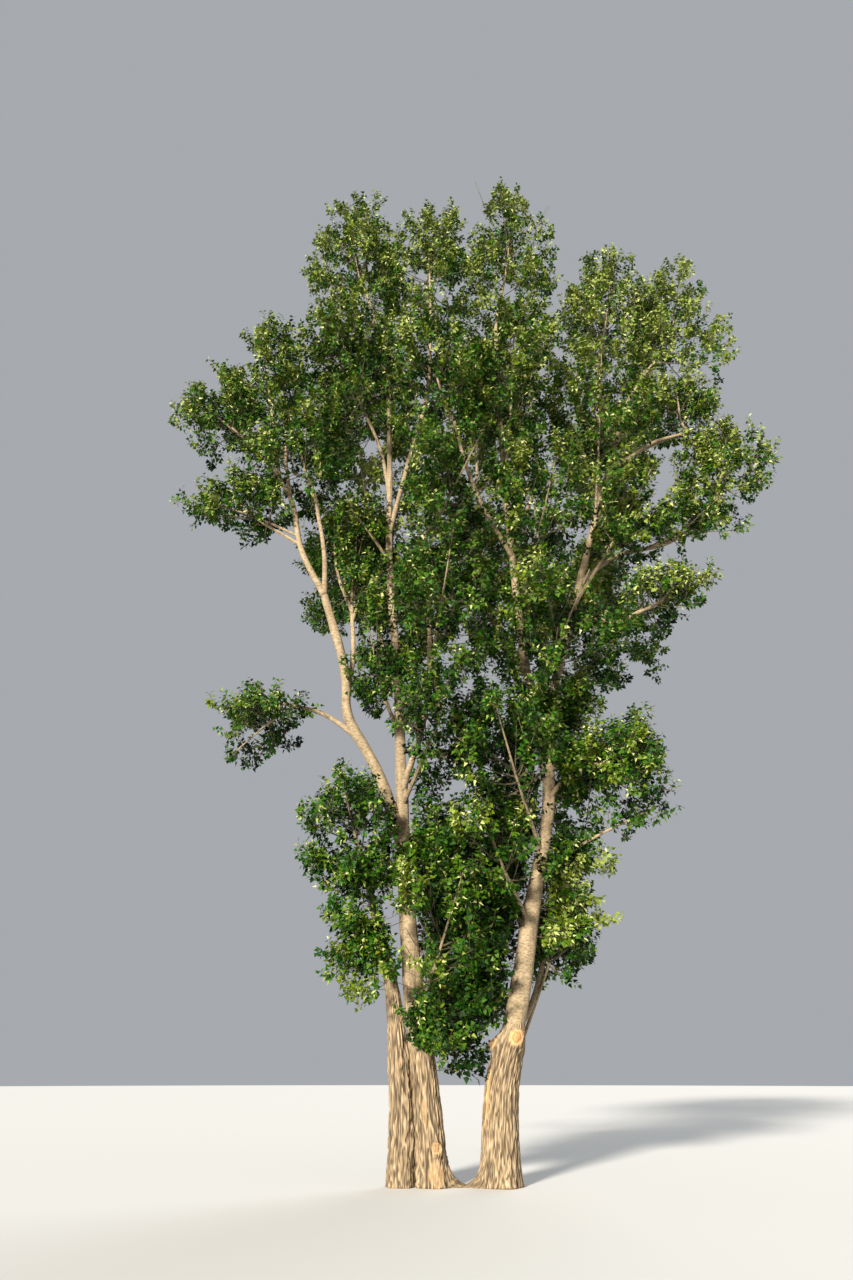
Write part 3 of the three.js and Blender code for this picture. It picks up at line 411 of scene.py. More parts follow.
# Limbs with twigs straight out of their bark, by the mass that they belong to: limb, lowest and
# highest height in metres, the way that they face, and how many there are
LEAFY_STRETCHES = {
    "left_under": [
        ("stem_left", 3.6, 6.0, FRONT - 0.5, 30),
        ("stem_left", 3.1, 4.2, FRONT, 26),
    ],
    "between_stems": [
        ("stem_middle", 1.75, 3.2, FRONT + 0.7, 38),
        ("stem_middle", 2.4, 6.2, -0.2, 84),
        ("stem_middle", 4.2, 6.0, FRONT, 22),
        ("stem_right", 2.7, 4.6, math.pi, 44),
    ],
    "middle_low": [("stem_middle", 6.3, 7.2, FRONT, 10)],
    "left_stem": [("stem_middle", 8.9, 10.1, FRONT, 12)],
    "right_stem": [
        ("stem_right", 7.5, 9.2, FRONT, 30),
        ("stem_right", 6.0, 8.4, math.pi, 40),
    ],
    "right_stem_low": [
        ("stem_right", 5.0, 5.8, FRONT, 14),
        ("stem_right", 4.2, 6.4, math.pi, 56),
    ],
    "right_foot": [("stem_right", 4.9, 8.4, 0.1, 46)],
    "sucker": [("stem_right", 3.9, 5.6, 0.4, 22)],
    "back_left": [("stem_middle", 9.5, 15.5, BACK, 34)],
    "back_left_high": [("stem_middle", 15.5, 19.5, BACK, 20)],
    "back_middle": [("leader_inner", 9.5, 15.5, BACK, 34)],
    "back_middle_high": [
        ("leader_inner", 15.5, 20.0, BACK, 20),
        ("bough_back_middle", 13.5, 16.8, BACK, 14),
    ],
    "back_right": [("leader_outer", 10.2, 15.0, BACK, 30)],
    "back_right_high": [("leader_outer", 15.0, 17.5, BACK, 16)],
}

# Slender limbs among the foliage, by the mass that they belong to: host limb and the height at
# which they leave it, radius at both ends, and the places that they pass
SMALL_LIMBS = {
    "left_shoulder": [
        ("bough_left_outer", 13.75, (0.045, 0.02), [(-4.67, -0.8, 15.0), (-4.75, -0.8, 16.4)]),
    ],
    "left_outer": [
        ("bough_left_outer", 15.3, (0.035, 0.014), [(-6.3, -0.8, 16.1), (-7.1, -0.8, 16.7)]),
    ],
    "left_lateral": [
        ("bough_left_outer", 12.7, (0.035, 0.014), [(-5.35, -0.9, 13.22), (-6.3, -0.95, 13.5)]),
    ],
    "left_gap": [
        ("bough_left_back", 11.2, (0.045, 0.02), [(-3.4, 0.2, 12.4), (-3.55, 0.3, 14.2)]),
        ("bough_left_back", 10.9, (0.035, 0.02), [(-2.75, 0.1, 12.1), (-2.9, 0.1, 12.9)]),
        ("stem_middle", 12.5, (0.045, 0.02), [(-2.48, -0.4, 12.86), (-3.05, -0.8, 13.5)]),
    ],
    "left_stem": [
        ("stem_middle", 8.3, (0.045, 0.02), [(-2.14, -0.3, 8.78), (-2.4, -0.6, 9.6)]),
    ],
    "upper_centre": [
        ("leader_inner", 12.9, (0.05, 0.02), [(1.2, -0.4, 13.9), (1.55, -0.5, 15.1)]),
    ],
    "right_lateral": [
        ("bough_right_low", 12.4, (0.04, 0.015), [(4.92, -0.85, 12.8), (5.5, -0.9, 13.3)]),
    ],
    "right_high": [
        ("leader_outer", 15.2, (0.04, 0.018), [(4.49, -0.3, 15.8), (5.3, -0.4, 16.1)]),
    ],
    "right_foot": [
        ("stem_right", 5.0, (0.04, 0.015), [(1.6, -0.5, 5.6), (2.5, -0.7, 6.05), (3.3, -0.8, 6.4)]),
        ("bough_right_foot", 7.2, (0.03, 0.012), [(2.6, -0.6, 7.4), (3.5, -0.7, 7.4)]),
    ],
    "sucker": [
        ("stem_right", 2.35, (0.075, 0.05),
            [(0.74, 0.5, 2.9), (0.98, 0.75, 3.5), (1.15, 0.85, 4.1)]),
    ],
}

# Leaf tints, from the shaded heart of the crown to its sunlit edge. The last is for glints alone.
TINTS = {
    "deep": (0.002, 0.009, 0.001),
    "shade": (0.006, 0.024, 0.001),
    "green": (0.012, 0.052, 0.002),
    "bright": (0.024, 0.086, 0.003),
    "moss": (0.050, 0.110, 0.004),
    "olive": (0.096, 0.138, 0.007),
    "gold": (0.200, 0.250, 0.045),
    "pale": (0.410, 0.445, 0.165),
}
# What lights a spray: a least light, its height in the crown, how far it is towards the sun and
# outward in its mass, chance, and how near it is to the crown's right rim and to its open foot
LIGHT = {
    "least": 0.03, "height": 0.47, "sunward": 0.18, "outward": 0.16, "chance": 0.5, "rim": 0.12,
    "foot": 0.22,
}
# Heights of the crown's foot and top, and the share between them that its open foot takes
CROWN_FOOT = 2.0
CROWN_TOP = 26.0
OPEN_FOOT = 0.25

# Lights as broad as a spread in degrees: the way to each, strength, spread and colour
SUN_WAY = np.array([-0.38, -0.87, 0.32])
LIGHTS = {
    "key_light": (SUN_WAY, 8.6, 8, (1.0, 0.93, 0.82)),
    "back_light": (np.array([0.5, 0.85, 0.75]), 1.2, 40, (0.95, 0.97, 1.0)),
}
ROOM_COLOUR = (0.84, 0.87, 0.92)
ROOM_STRENGTH = 0.46
# The floor, and how far the camera sees
FLOOR_COLOUR = (0.62, 0.62, 0.60)
FLOOR_RADIUS = 160
FLOOR_SIDES = 96
FAR_CLIP = 500


def unit(ways):
    return ways / np.linalg.norm(ways, axis=-1, keepdims=True)


def mixed(low, high, share):
    return low + (high - low) * share


def smooth_step(low, high, value):
    share = np.clip((value - low) / (high - low), 0, 1)
    return share * share * (3 - 2 * share)


def blended(shares, ways):
    return sum(share * way for share, way in zip(shares, ways))


def tapered(share):
    return TAPER[0] - TAPER[1] * share


def scattered(random, limits, count):
    return mixed(limits[0], limits[1], random.random(count))


def noise_at(places):
    return np.array([noise.noise(Vector(place)) for place in places.reshape(-1, 3).tolist()])


def round_middle(angle, radius, height):
    """Places at an angle and a distance round an upright middle line."""
    return np.stack([np.cos(angle) * radius, np.sin(angle) * radius, height], axis=-1)


def seeded_random(seed):
    """The same numbers, in the same order, as the solids' rule draws."""
    state = seed * CHANCE["seed"] % CHANCE["states"]
    while True:
        state = (state * CHANCE["times"] + CHANCE["plus"]) % CHANCE["states"]
        yield state / CHANCE["states"]


class Course:
    """A smooth line through places, by centripetal Catmull-Rom stretches, and how long it is."""

    def __init__(self, places, steps=40):
        p = np.array(places, float)
        p = np.vstack([2 * p[0] - p[1], p, 2 * p[-1] - p[-2]])
        shares = np.linspace(0, 1, steps, endpoint=False)[:, None]
        line = []
        for a, b, c, d in zip(p, p[1:], p[2:], p[3:]):
            gaps = [math.sqrt(np.linalg.norm(q - r)) for q, r in ((b, a), (c, b), (d, c))]
            start = self.slope(a, b, c, gaps[0], gaps[1]) * gaps[1]
            end = self.slope(b, c, d, gaps[1], gaps[2]) * gaps[1]
            bent = (2 * b - 2 * c + start + end) * shares**3
            bent += (3 * c - 3 * b - 2 * start - end) * shares**2
            line.append(bent + start * shares + b)
        self.line = np.vstack([*line, p[-2]])
        lengths = np.linalg.norm(np.diff(self.line, axis=0), axis=1)
        self.marks = np.concatenate([[0], np.cumsum(lengths)])
        self.length = self.marks[-1]

    @staticmethod
    def slope(before, here, after, gap_before, gap_after):
        return (
            (here - before) / gap_before
            - (after - before) / (gap_before + gap_after)
            + (after - here) / gap_after
        )

    def found(self, marks, scale):
        return np.stack([np.interp(marks, scale, self.line[:, i]) for i in range(3)], axis=-1)

    def at(self, share):
        return self.found(np.asarray(share) * self.length, self.marks)

    def at_height(self, height):
        return self.found(height, self.line[:, 2])

    def way(self, share):
        step = 1e-3
        return unit(self.at(np.minimum(share + step, 1)) - self.at(np.maximum(share - step, 0)))


def turned(way, axis, angle):
    return (
        way * math.cos(angle)
        + np.cross(axis, way) * math.sin(angle)
        + axis * (axis @ way) * (1 - math.cos(angle))
    )


def frames_along(course, rings):
    """Directions square to a line at even shares, turned as little as possible between them."""
    ways = course.way(np.linspace(0, 1, rings + 1))
    least = np.eye(3)[np.argmin(np.abs(ways[0]))]
    normal = np.cross(ways[0], unit(np.cross(ways[0], least)))
    normals = [normal]
    for before, after in zip(ways, ways[1:]):
        axis = np.cross(before, after)
        if np.linalg.norm(axis) > LEAST_TURN:
            angle = math.acos(np.clip(before @ after, -1, 1))
            normal = turned(normal, unit(axis), angle)
        normals.append(normal)
    normals = np.array(normals)
    return ways, normals, np.cross(ways, normals)


def make_mesh(name, places, faces, materials, looks=None, smooth=False):
    """One object from vertex places and faces that all have as many corners."""
    mesh = bpy.data.meshes.new(name)
    corners = faces.shape[1]
    mesh.vertices.add(len(places))
    mesh.vertices.foreach_set("co", np.asarray(places, np.float32).ravel())
    mesh.loops.add(faces.size)
    mesh.loops.foreach_set("vertex_index", np.asarray(faces, np.int32).ravel())
    mesh.polygons.add(len(faces))
    mesh.polygons.foreach_set("loop_start", np.arange(0, faces.size, corners, dtype=np.int32))
    for material in materials:
        mesh.materials.append(material)
    if looks is not None:
        mesh.polygons.foreach_set("material_index", np.asarray(looks, np.int32))
    mesh.polygons.foreach_set("use_smooth", np.full(len(faces), smooth))
    mesh.update(calc_edges=True)
    piece = bpy.data.objects.new(name, mesh)
    bpy.context.scene.collection.objects.link(piece)
    return piece


def finish_piece(piece, nodes):
    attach(piece, "root")
    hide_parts(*nodes)


def wall_faces(rings, sides):
    """Faces between rings of so many places each."""
    ring, side = np.meshgrid(np.arange(rings - 1), np.arange(sides), indexing="ij")
    low, low_next = ring * sides + side, ring * sides + (side + 1) % sides
    walls = np.stack([low, low_next, low_next + sides, low + sides], axis=-1).reshape(-1, 4)
    return np.vstack([walls[:, [0, 1, 2]], walls[:, [0, 2, 3]]])


def fan_faces(sides, first, middle):
    """Faces from each side of a ring, which begins at a first place, to a middle place."""
    around = np.arange(sides)
    return np.stack([first + around, first + (around + 1) % sides, np.full(sides, middle)], axis=-1)


def skin_faces(rings, sides):
    """Walls over rings, closed at the foot and the head by a middle place each."""
    foot = fan_faces(sides, 0, rings * sides)[:, [1, 0, 2]]
    head = fan_faces(sides, (rings - 1) * sides, rings * sides + 1)
    return np.vstack([wall_faces(rings, sides), foot, head])


# BARK
def ridges(angle, height, radius):
    """Bark ridges from 0 in a furrow to 1 on a crest, in long cells that run into each other."""
    skin = round_middle(angle, radius, height)
    long, short = (
        noise_at(skin / (width, width, length)) for width, length in (LONG_RIDGES, SHORT_RIDGES)
    )
    crests = smooth_step(0, RIDGE["furrow"], np.abs(long))
    crests = crests * (RIDGE["height"] + RIDGE["change"] * short)
    return np.clip(crests, 0, 1).reshape(angle.shape)


def measure_marks(stem, angle, height, radius, crests):
    """How far a stem's marks lift the bark, how bare they are, and how far out each place lies."""
    lift = np.zeros_like(radius)
    wood = np.zeros_like(radius)
    cut = np.ones_like(radius)
    for mark_height, mark_angle, half_width, half_height, swelling, rim, bare in MARKS[stem]:
        around = (angle - mark_angle + math.pi) % (2 * math.pi) - math.pi
        away = np.hypot(around * radius / half_width, (height - mark_height) / half_height)
        away = away + MARK["ragged"] * (1 - crests)
        lift += swelling * np.exp(-MARK["fall"] * away**2)
        lift += rim * np.exp(-(((away - 1) / MARK["rim"]) ** 2))
        wood = np.maximum(wood, bare * (1 - smooth_step(*MARK["edge"], away)))
        cut = np.minimum(cut, away)
    return lift, wood, cut


def limb_radius(name, height):
    if name in STEMS:
        girths = np.array(STEMS[name]["girths"])
        return np.interp(height, girths[:, 0], girths[:, 1]) / 2
    course, radii = LIMBS[name]["course"], LIMBS[name]["radii"]
    return np.interp(height, [course.line[0, 2], course.line[-1, 2]], radii)


def stem_radius(name, height, angle):
    """A stem's radius with the flare of its foot and its surface root, as in its solid."""
    plain = limb_radius(name, height)
    turn = FLARE["lobe_turn"] * STEMS[name]["course"][0][0]
    lobe = 1 + FLARE["lobe_depth"] * np.cos(FLARE["lobes"] * angle + turn)
    radius = plain + plain * FLARE["share"] * lobe * np.exp(-height / FLARE["height"])
    if STEMS[name]["surface_root"] is None:
        return radius
    facing = np.maximum(0, np.cos(angle - STEMS[name]["surface_root"]))
    rising = np.exp(-height / SURFACE_ROOT["height"])
    return radius + SURFACE_ROOT["reach"] * facing ** SURFACE_ROOT["sharpness"] * rising


def ring_heights(furrowed, top):
    """Heights of a stem's rings, close together up to where its bark is furrowed."""
    heights = [0.0]
    while heights[-1] < top:
        share = smooth_step(furrowed, top, heights[-1])
        heights.append(heights[-1] + mixed(*STEM_RINGS, share))
    heights[-1] = top
    return np.array(heights)


def make_stem(name, bark):
    course, sides = LIMBS[name]["course"], STEM_SIDES[name]
    heights = ring_heights(FURROWED[name][1], course.line[-1, 2])
    angle = np.linspace(0, 2 * math.pi, sides, endpoint=False)
    height, angle = np.meshgrid(heights, angle, indexing="ij")
    radius = stem_radius(name, height, angle)
    crests = ridges(angle, height, radius)
    lift, wood, cut = measure_marks(name, angle, height, radius, crests)
    age = (1 - smooth_step(*FURROWED[name], height)) * (1 - wood)
    waves = noise_at(round_middle(angle, WAVES["around"], height * WAVES["along"]))
    relief = FURROW_DEPTH * age * (crests - GIRTH_LEVEL)
    radius = radius + lift + relief + WAVES["height"] * waves.reshape(radius.shape)
    centres = course.at_height(heights)[:, None, :]
    walls = round_middle(angle, radius, np.zeros_like(radius)) + centres
    walls[..., 2] = height
    ends = np.array([centres[0, 0], centres[-1, 0] + UP * STEM_END])
    places = np.vstack([walls.reshape(-1, 3), ends])
    faces = skin_faces(len(heights), sides)
    piece = make_mesh(name + "_bark", places, faces, [bark], smooth=True)
    for measure, values in (("ridge", crests), ("age", age), ("wood", wood), ("cut", cut)):
        values = np.append(values.ravel(), END_MEASURES)
        stored = piece.data.attributes.new(measure, "FLOAT", "POINT")
        stored.data.foreach_set("value", np.asarray(values, np.float32))
    finish_piece(piece, [name])


def make_bough(name, bark):
    course, radii = LIMBS[name]["course"], LIMBS[name]["radii"]
    rings = max(LEAST_RINGS, round(course.length / BOUGH_RING))
    share = np.linspace(0, 1, rings + 1)
    _, normals, binormals = frames_along(course, rings)
    swelling = COLLAR["share"] * np.exp(-share * course.length / (COLLAR["radii"] * radii[0]))
    radius = mixed(*radii, share) * (1 + swelling)
    angle = np.linspace(0, 2 * math.pi, BOUGH_SIDES, endpoint=False)[:, None]
    around = normals[:, None] * np.cos(angle) + binormals[:, None] * np.sin(angle)
    centres = course.at(share)[:, None]
    knots = noise_at(centres * KNOTS["along"] + around * KNOTS["around"])
    knots = KNOTS["height"] * knots.reshape(rings + 1, BOUGH_SIDES)
    walls = centres + around * (radius[:, None] * (1 + knots))[..., None]
    ends = np.array([centres[0, 0], centres[-1, 0] + course.way(1.0) * radii[1]])
    places = np.vstack([walls.reshape(-1, 3), ends])
    faces = skin_faces(rings + 1, BOUGH_SIDES)
    piece = make_mesh(name + "_bark", places, faces, [bark], smooth=True)
    finish_piece(piece, [name])


# FOLIAGE
class Space:
    """A mass's space: a rounded body, cut by a plane between it and each neighbour."""

    def __init__(self, name):
        part, _, _, middle, half = MASSES[name]
        self.middle = np.array(middle, float)
        self.half = np.array(half, float) * FULLNESS
        planes = []
        for other, (_, _, _, its_middle, its_half) in MASSES.items():
            if other == name:
                continue
            apart = np.array(its_middle, float) - self.middle
            distance = np.linalg.norm(apart)
            way = apart / distance
            own = np.linalg.norm(self.half * way)
            its = np.linalg.norm(np.array(its_half, float) * FULLNESS * way)
            if own + its >= distance - MASS_GAP:
                planes.append([*way, distance * own / (own + its) - MASS_GAP / 2])
        self.planes = np.array(planes).reshape(-1, 4)
        self.half = self.half - SHOOT_ROOM
        at_top = part == "top"
        self.form = TOP_FORM if at_top else ROUND_FORM
        self.heart = self.middle + at_top * TOP_SHIFT

    def outwardness(self, places):
        """How far out places lie in the body as a whole: its skin is at 1."""
        offset = np.abs((places - self.heart) / self.half)
        return (offset**self.form).sum(axis=-1) ** (1 / self.form)

    def depth(self, places):
        """How far out places lie: under 1 is inside."""
        outward = self.outwardness(places)
        if len(self.planes):
            offset = places - self.middle
            beyond = (offset @ self.planes[:, :3].T - self.planes[:, 3]).max(axis=-1)
            outward = np.where(beyond > 0, np.maximum(outward, 1), outward)
        return outward

    def reach(self, places, ways, overlap=0):
        """How far each line can go before it leaves the space, whose edge is uneven."""
        reach = np.zeros(len(places))
        far = np.full(len(places), 2 * np.linalg.norm(self.half))
        for _ in range(HALVINGS):
            half_way = (reach + far) / 2
            inside = self.outwardness(places + ways * half_way[:, None]) < 1
            reach = np.where(inside, half_way, reach)
            far = np.where(inside, far, half_way)
        for plane in self.planes:
            towards = ways @ plane[:3]
            left = plane[3] + overlap - (places - self.middle) @ plane[:3]
            left = np.minimum(reach, left / np.maximum(towards, LEAST_SLOPE))
            reach = np.where(towards > LEAST_SLOPE, left, reach)
        if overlap:
            uneven = UNEVENNESS * noise_at(places + ways * reach[:, None])
            reach = reach * (SURE_REACH + uneven)
        return np.where((self.outwardness(places) < 1) & (reach > 0), reach, 0)


def on_lines(lines, index, share):
    """Places on bent lines, and which way each line goes there."""
    steps = lines.shape[1] - 1
    mark = np.clip(share, 0, 1) * steps
    before = np.minimum(mark.astype(int), steps - 1)
    start, end = lines[index, before], lines[index, before + 1]
    return start + (end - start) * (mark - before)[:, None], unit(end - start)


def bent_lines(roots, ways, lengths, pull, steps):
    """Lines that set out lower than they end, so that they turn upward."""
    shares = np.linspace(0, 1, steps + 1)[None, :, None]
    bends = roots + unit(ways - pull * UP) * (lengths / 2)[:, None]
    tips = roots + ways * lengths[:, None]
    roots, bends, tips = roots[:, None], bends[:, None], tips[:, None]
    return roots * (1 - shares) ** 2 + bends * 2 * shares * (1 - shares) + tips * shares**2


def square_to(ways):
    """Two directions square to each way and to each other."""
    least = np.eye(3)[np.argmin(np.abs(ways), axis=-1)]
    across = unit(np.cross(ways, least))
    return across, np.cross(ways, across)


def outward_ways(onward, order, turns):
    """Ways out of lines, a golden turn from one to the next."""
    across, other = square_to(onward)
    turn = (order * GOLDEN_TURN + turns * 2 * math.pi)[:, None]
    return across * np.cos(turn) + other * np.sin(turn)


def sprouted(lines, rule, space, random, first):
    """Twigs that leave the lines all round, every so many metres from a first share on."""
    lengths = np.linalg.norm(np.diff(lines, axis=1), axis=-1).sum(axis=-1)
    counts = np.maximum(1, np.round(lengths * (1 - first) / rule["spacing"]).astype(int))
    index = np.repeat(np.arange(len(lines)), counts)
    order = np.arange(len(index)) - np.repeat(np.cumsum(counts) - counts, counts)
    share = first + (1 - first) * (order + random.random(len(index))) / counts[index]
    roots, onward = on_lines(lines, index, share)
    outward = outward_ways(onward, order, random.random(len(lines))[index])
    angle = (rule["angle"] * scattered(random, ANGLE_SPREAD, len(index)))[:, None]
    ways = unit(onward * np.cos(angle) + outward * np.sin(angle) + rule["pull"] * UP)
    length = scattered(random, rule["length"], len(index)) * tapered(share)
    if rule["bound"]:
        length = np.minimum(length, space.reach(roots, ways, OVERLAP))
    kept = length > SHORTEST * rule["length"][0]
    return bent_lines(roots[kept], ways[kept], length[kept], rule["pull"], BRANCH_STEPS)


def stem_of_mass(name, space):
    """The line of a mass's own stem, from its host limb up to the top of its space."""
    _, host_name, along, _, _ = MASSES[name]
    host = LIMBS[host_name]["course"]
    foot = host.at(along)
    places = [foot]
    end_way = UP if host_name in STEMS else host.way(1.0)
    if along == 1:
        places = [foot + SEAM * end_way, foot + (SEAM + MASS_STEM["straight_start"]) * end_way]
    inward = places[0] - space.middle
    reach = min(np.linalg.norm(inward), space.half[0], space.half[2])
    places.append(space.middle + unit(inward) * MASS_STEM["bend"] * reach)
    upward = space.reach(space.middle[None], UP[None])[0]
    places.append(space.middle + UP * max(MASS_STEM["least_rise"], upward - SPRAY_LENGTH))
    return Course(places), along == 1, end_way


def first_twigs(name, seed, course, on_tip, end_way, space):
    """The solid's own twigs, and more of their kind between them."""
    rings, highest = MASS_STEM["rings"], MASS_STEM["highest_twig"]
    ways, normals, binormals = frames_along(course, rings)
    middle = space.middle
    away = np.array([middle[0] / CROWN_HALF["width"], middle[1] / CROWN_HALF["depth"], 0])
    turn = math.atan2(-away @ normals[1], away @ binormals[1])
    normals, binormals = (
        normals * math.cos(turn) + binormals * math.sin(turn),
        binormals * math.cos(turn) - normals * math.sin(turn),
    )
    if on_tip:
        normals[0] = unit(normals[0] - end_way * (normals[0] @ end_way))
        binormals[0] = np.cross(end_way, normals[0])
    shares = np.linspace(0, 1, ENTRY_TRIALS)
    outside = space.depth(course.at(shares)) >= 1
    entry = min(highest, shares[np.argmin(outside)] + ENTRY_DEPTH)
    draw = seeded_random(seed)
    bulk = np.cbrt(np.prod(MASSES[name][4]))
    count = round(MASS_TWIGS["least"] + MASS_TWIGS["per_metre"] * bulk)
    more = round(count * FINE_TWIGS)
    roots, onward = [], []
    for i in range(count + more):
        if i < count:
            share = (i + 0.5) / count
            turn = math.pi + (i - OUTWARD_TWIG) * 2 * math.pi / TWIG_SIDES
            lowest = TWIG_RISE["low"]
        else:
            share = (i - count + 0.5) / more
            turn = i * GOLDEN_TURN
            lowest = FINE_RISE_LOW
        along = mixed(entry, highest, share)
        ring = round(along * rings)
        turn += TWIG_STRAY * (next(draw) - 0.5)
        outward = normals[ring] * math.sin(turn) - binormals[ring] * math.cos(turn)
        rise = mixed(lowest, TWIG_RISE["high"], share) + TWIG_STRAY * (next(draw) - 0.5)
        # The solid's rule draws a third number, for a length that the space alone settles here
        next(draw)
        rising = unit(ways[ring] + UP)
        roots.append(course.at(along))
        onward.append(unit(outward * math.cos(rise) + rising * math.sin(rise)))
    roots, onward = np.array(roots), np.array(onward)
    lengths = EDGE * space.reach(roots, onward, OVERLAP)
    kept = lengths > SHOOT["length"][0]
    return bent_lines(roots[kept], onward[kept], lengths[kept], TWIG_BEND, TWIG_STEPS)


def in_sight(places):
    """Where the line of sight to each place passes the upright plane of the stems."""
    eye = np.array(EYE)
    share = -eye[1] / (places[:, 1] - eye[1])
    return eye[[0, 2]] + (places[:, [0, 2]] - eye[[0, 2]]) * share[:, None]


def keeps_sight(places, random):
    """False for what would hide or shade a bare stretch of limb, or fill a gap with sky."""
    seen = in_sight(places)
    kept = np.ones(len(places), bool)
    for name, stretches in BARE_STRETCHES.items():
        course = LIMBS[name]["course"]
        line = course.at(np.arange(0, 1, SIGHT_STEP / course.length))
        for low, high, width in stretches:
            stretch = line[(line[:, 2] >= low) & (line[:, 2] <= high)]
            apart = np.linalg.norm(seen[:, None] - in_sight(stretch)[None], axis=-1)
            ahead = places[:, 1] < stretch[apart.argmin(axis=1), 1] + BEHIND
            kept &= ~(ahead & (apart.min(axis=1) < width))
    for name, (low, high, width) in SUNLIT_STRETCHES.items():
        line = LIMBS[name]["course"].at_height(np.arange(low, high, SIGHT_STEP))
        apart = places[:, None] - line[None]
        ahead = apart @ unit(SUN_WAY)
        aside = np.linalg.norm(np.cross(apart, unit(SUN_WAY)), axis=-1)
        kept &= ~((ahead > 0) & (ahead < SHADE_REACH) & (aside < width)).any(axis=1)
    for x, z, half_x, half_z in SKY_GAPS:
        kept &= np.hypot((seen[:, 0] - x) / half_x, (seen[:, 1] - z) / half_z) > 1
    kept |= random.random(len(places)) < STRAY_SHARE
    x, z = np.array(SKYLINE).T
    return kept & (seen[:, 1] < np.interp(seen[:, 0], x, z, NO_SKYLINE, NO_SKYLINE))


def inside_box(places):
    """Within the tree's own box, but for a margin that the leaves of a shoot may reach into."""
    box = np.array(CAD_BOX, float)
    margin = BOX_MARGIN * (box[1] - box[0])
    return ((places > box[0] - margin) & (places < box[1] + margin)).all(axis=-1)


def clear_of_limbs(places):
    apart = np.linalg.norm(places[:, None] - LIMB_PLACES[None, :, :3], axis=-1)
    return (apart - LIMB_PLACES[None, :, 3]).min(axis=1) > LIMB_GAP


def bark_twigs(limb, low, high, facing, count, random):
    """Twigs straight out of a limb's bark between two heights, round the side that faces a way."""
    height = scattered(random, (low, high), count)
    centres = LIMBS[limb]["course"].at_height(height)
    angle = facing + BARK_TWIG["spread"] * (random.random(count) - 0.5)
    level = round_middle(angle, 1, np.zeros(count))
    radius = limb_radius(limb, height)[:, None]
    ways = unit(level + scattered(random, BARK_TWIG["slope"], count)[:, None] * UP)
    lengths = scattered(random, BARK_TWIG["length"], count)
    roots = centres + level * radius * BARK_TWIG["root"]
    return bent_lines(roots, ways, lengths, TWIG_BEND, BRANCH_STEPS)


def small_limb(host, height, radii, places):
    """The line of a slender limb from the middle of its host, and its radii."""
    course = Course([LIMBS[host]["course"].at_height(height), *places])
    return course.at(np.linspace(0, 1, STEM_STEPS))[None], radii


def grow_mass(name, seed):
    """The space of one mass, and all its twigs as bent lines by their kind."""
    random = np.random.default_rng(seed)
    space = Space(name)
    course, on_tip, end_way = stem_of_mass(name, space)
    top = course.at(1.0)
    onward = course.way(1.0)
    rest = EDGE * min(SPRAY_LENGTH, space.reach(top[None], onward[None])[0])
    shares = np.linspace(0, 1, STEM_STEPS - TIP_STEPS)
    tip = top + onward * rest * np.linspace(1 / TIP_STEPS, 1, TIP_STEPS)[:, None]
    stem = np.vstack([course.at(shares), tip])[None]
    twigs = first_twigs(name, seed, course, on_tip, end_way, space)
    small_limbs = [small_limb(*row) for row in SMALL_LIMBS.get(name, ())]
    stems = np.vstack([stem, *[line for line, _ in small_limbs]])
    branchlets = np.vstack([
        sprouted(stems, BRANCHLET, space, random, BRANCHLETS_FROM["stem"]),
        sprouted(twigs, BRANCHLET, space, random, BRANCHLETS_FROM["twig"]),
        *[bark_twigs(*stretch, random) for stretch in LEAFY_STRETCHES.get(name, ())],
    ])
    branchlets = branchlets[keeps_sight(branchlets[:, 1], random)]
    shoots = np.vstack([
        sprouted(branchlets, SHOOT, space, random, SHOOTS_FROM["branchlet"]),
        sprouted(twigs, SHOOT, space, random, SHOOTS_FROM["twig"]),
        sprouted(stems, SHOOT, space, random, SHOOTS_FROM["stem"]),
    ])
    middles, tips = shoots[:, 1], shoots[:, -1]
    kept = clear_of_limbs(middles) & keeps_sight(middles, random) & inside_box(tips)
    share = SHOOT_SHARES[0] + SHOOT_SHARES[1] * space.depth(tips) ** 2
    kept &= random.random(len(shoots)) < share
    return space, small_limbs, {
        "stem": stem, "twig": twigs, "branchlet": branchlets, "shoot": shoots[kept],
    }


def rods(lines, radii, sides):
    """Skins of three or more sides round bent lines that thin out to their tips."""
    count, steps, _ = lines.shape
    onward = unit(np.gradient(lines, axis=1))
    bend = np.cross(onward[:, 0], onward[:, -1])
    straight = np.linalg.norm(bend, axis=-1) < LEAST_BEND
    bend[straight] = square_to(onward[straight, 0])[0]
    across = unit(bend)[:, None]
    normal = unit(np.cross(onward, np.broadcast_to(across, onward.shape)))
    binormal = np.cross(onward, normal)
    radius = np.linspace(*radii, steps)[None, :, None, None]
    turn = (np.arange(sides) * 2 * math.pi / sides)[None, None, :, None]
    around = normal[:, :, None] * np.cos(turn) + binormal[:, :, None] * np.sin(turn)
    places = (lines[:, :, None] + around * radius).reshape(-1, 3)
    starts = (np.arange(count) * steps * sides)[:, None, None]
    return places, (wall_faces(steps, sides)[None] + starts).reshape(-1, 3)


def leaf_light(places, space, random):
    """How much light a spray stands in, from 0 in the heart of the crown to 1 at its sunlit top."""
    offset = (places - space.middle) / space.half
    height = (places[:, 2] - CROWN_FOOT) / (CROWN_TOP - CROWN_FOOT)
    outward = np.linalg.norm(offset, axis=-1)
    chance = random.random(len(places)) - 0.5
    light = LIGHT["least"] + LIGHT["height"] * height + LIGHT["sunward"] * (offset @ unit(SUN_WAY))
    light = light + LIGHT["outward"] * outward + LIGHT["chance"] * chance
    light = light + LIGHT["rim"] * np.maximum(places[:, 0], 0) / CROWN_HALF["width"]
    return light + LIGHT["foot"] * (1 - smooth_step(0, OPEN_FOOT, height))


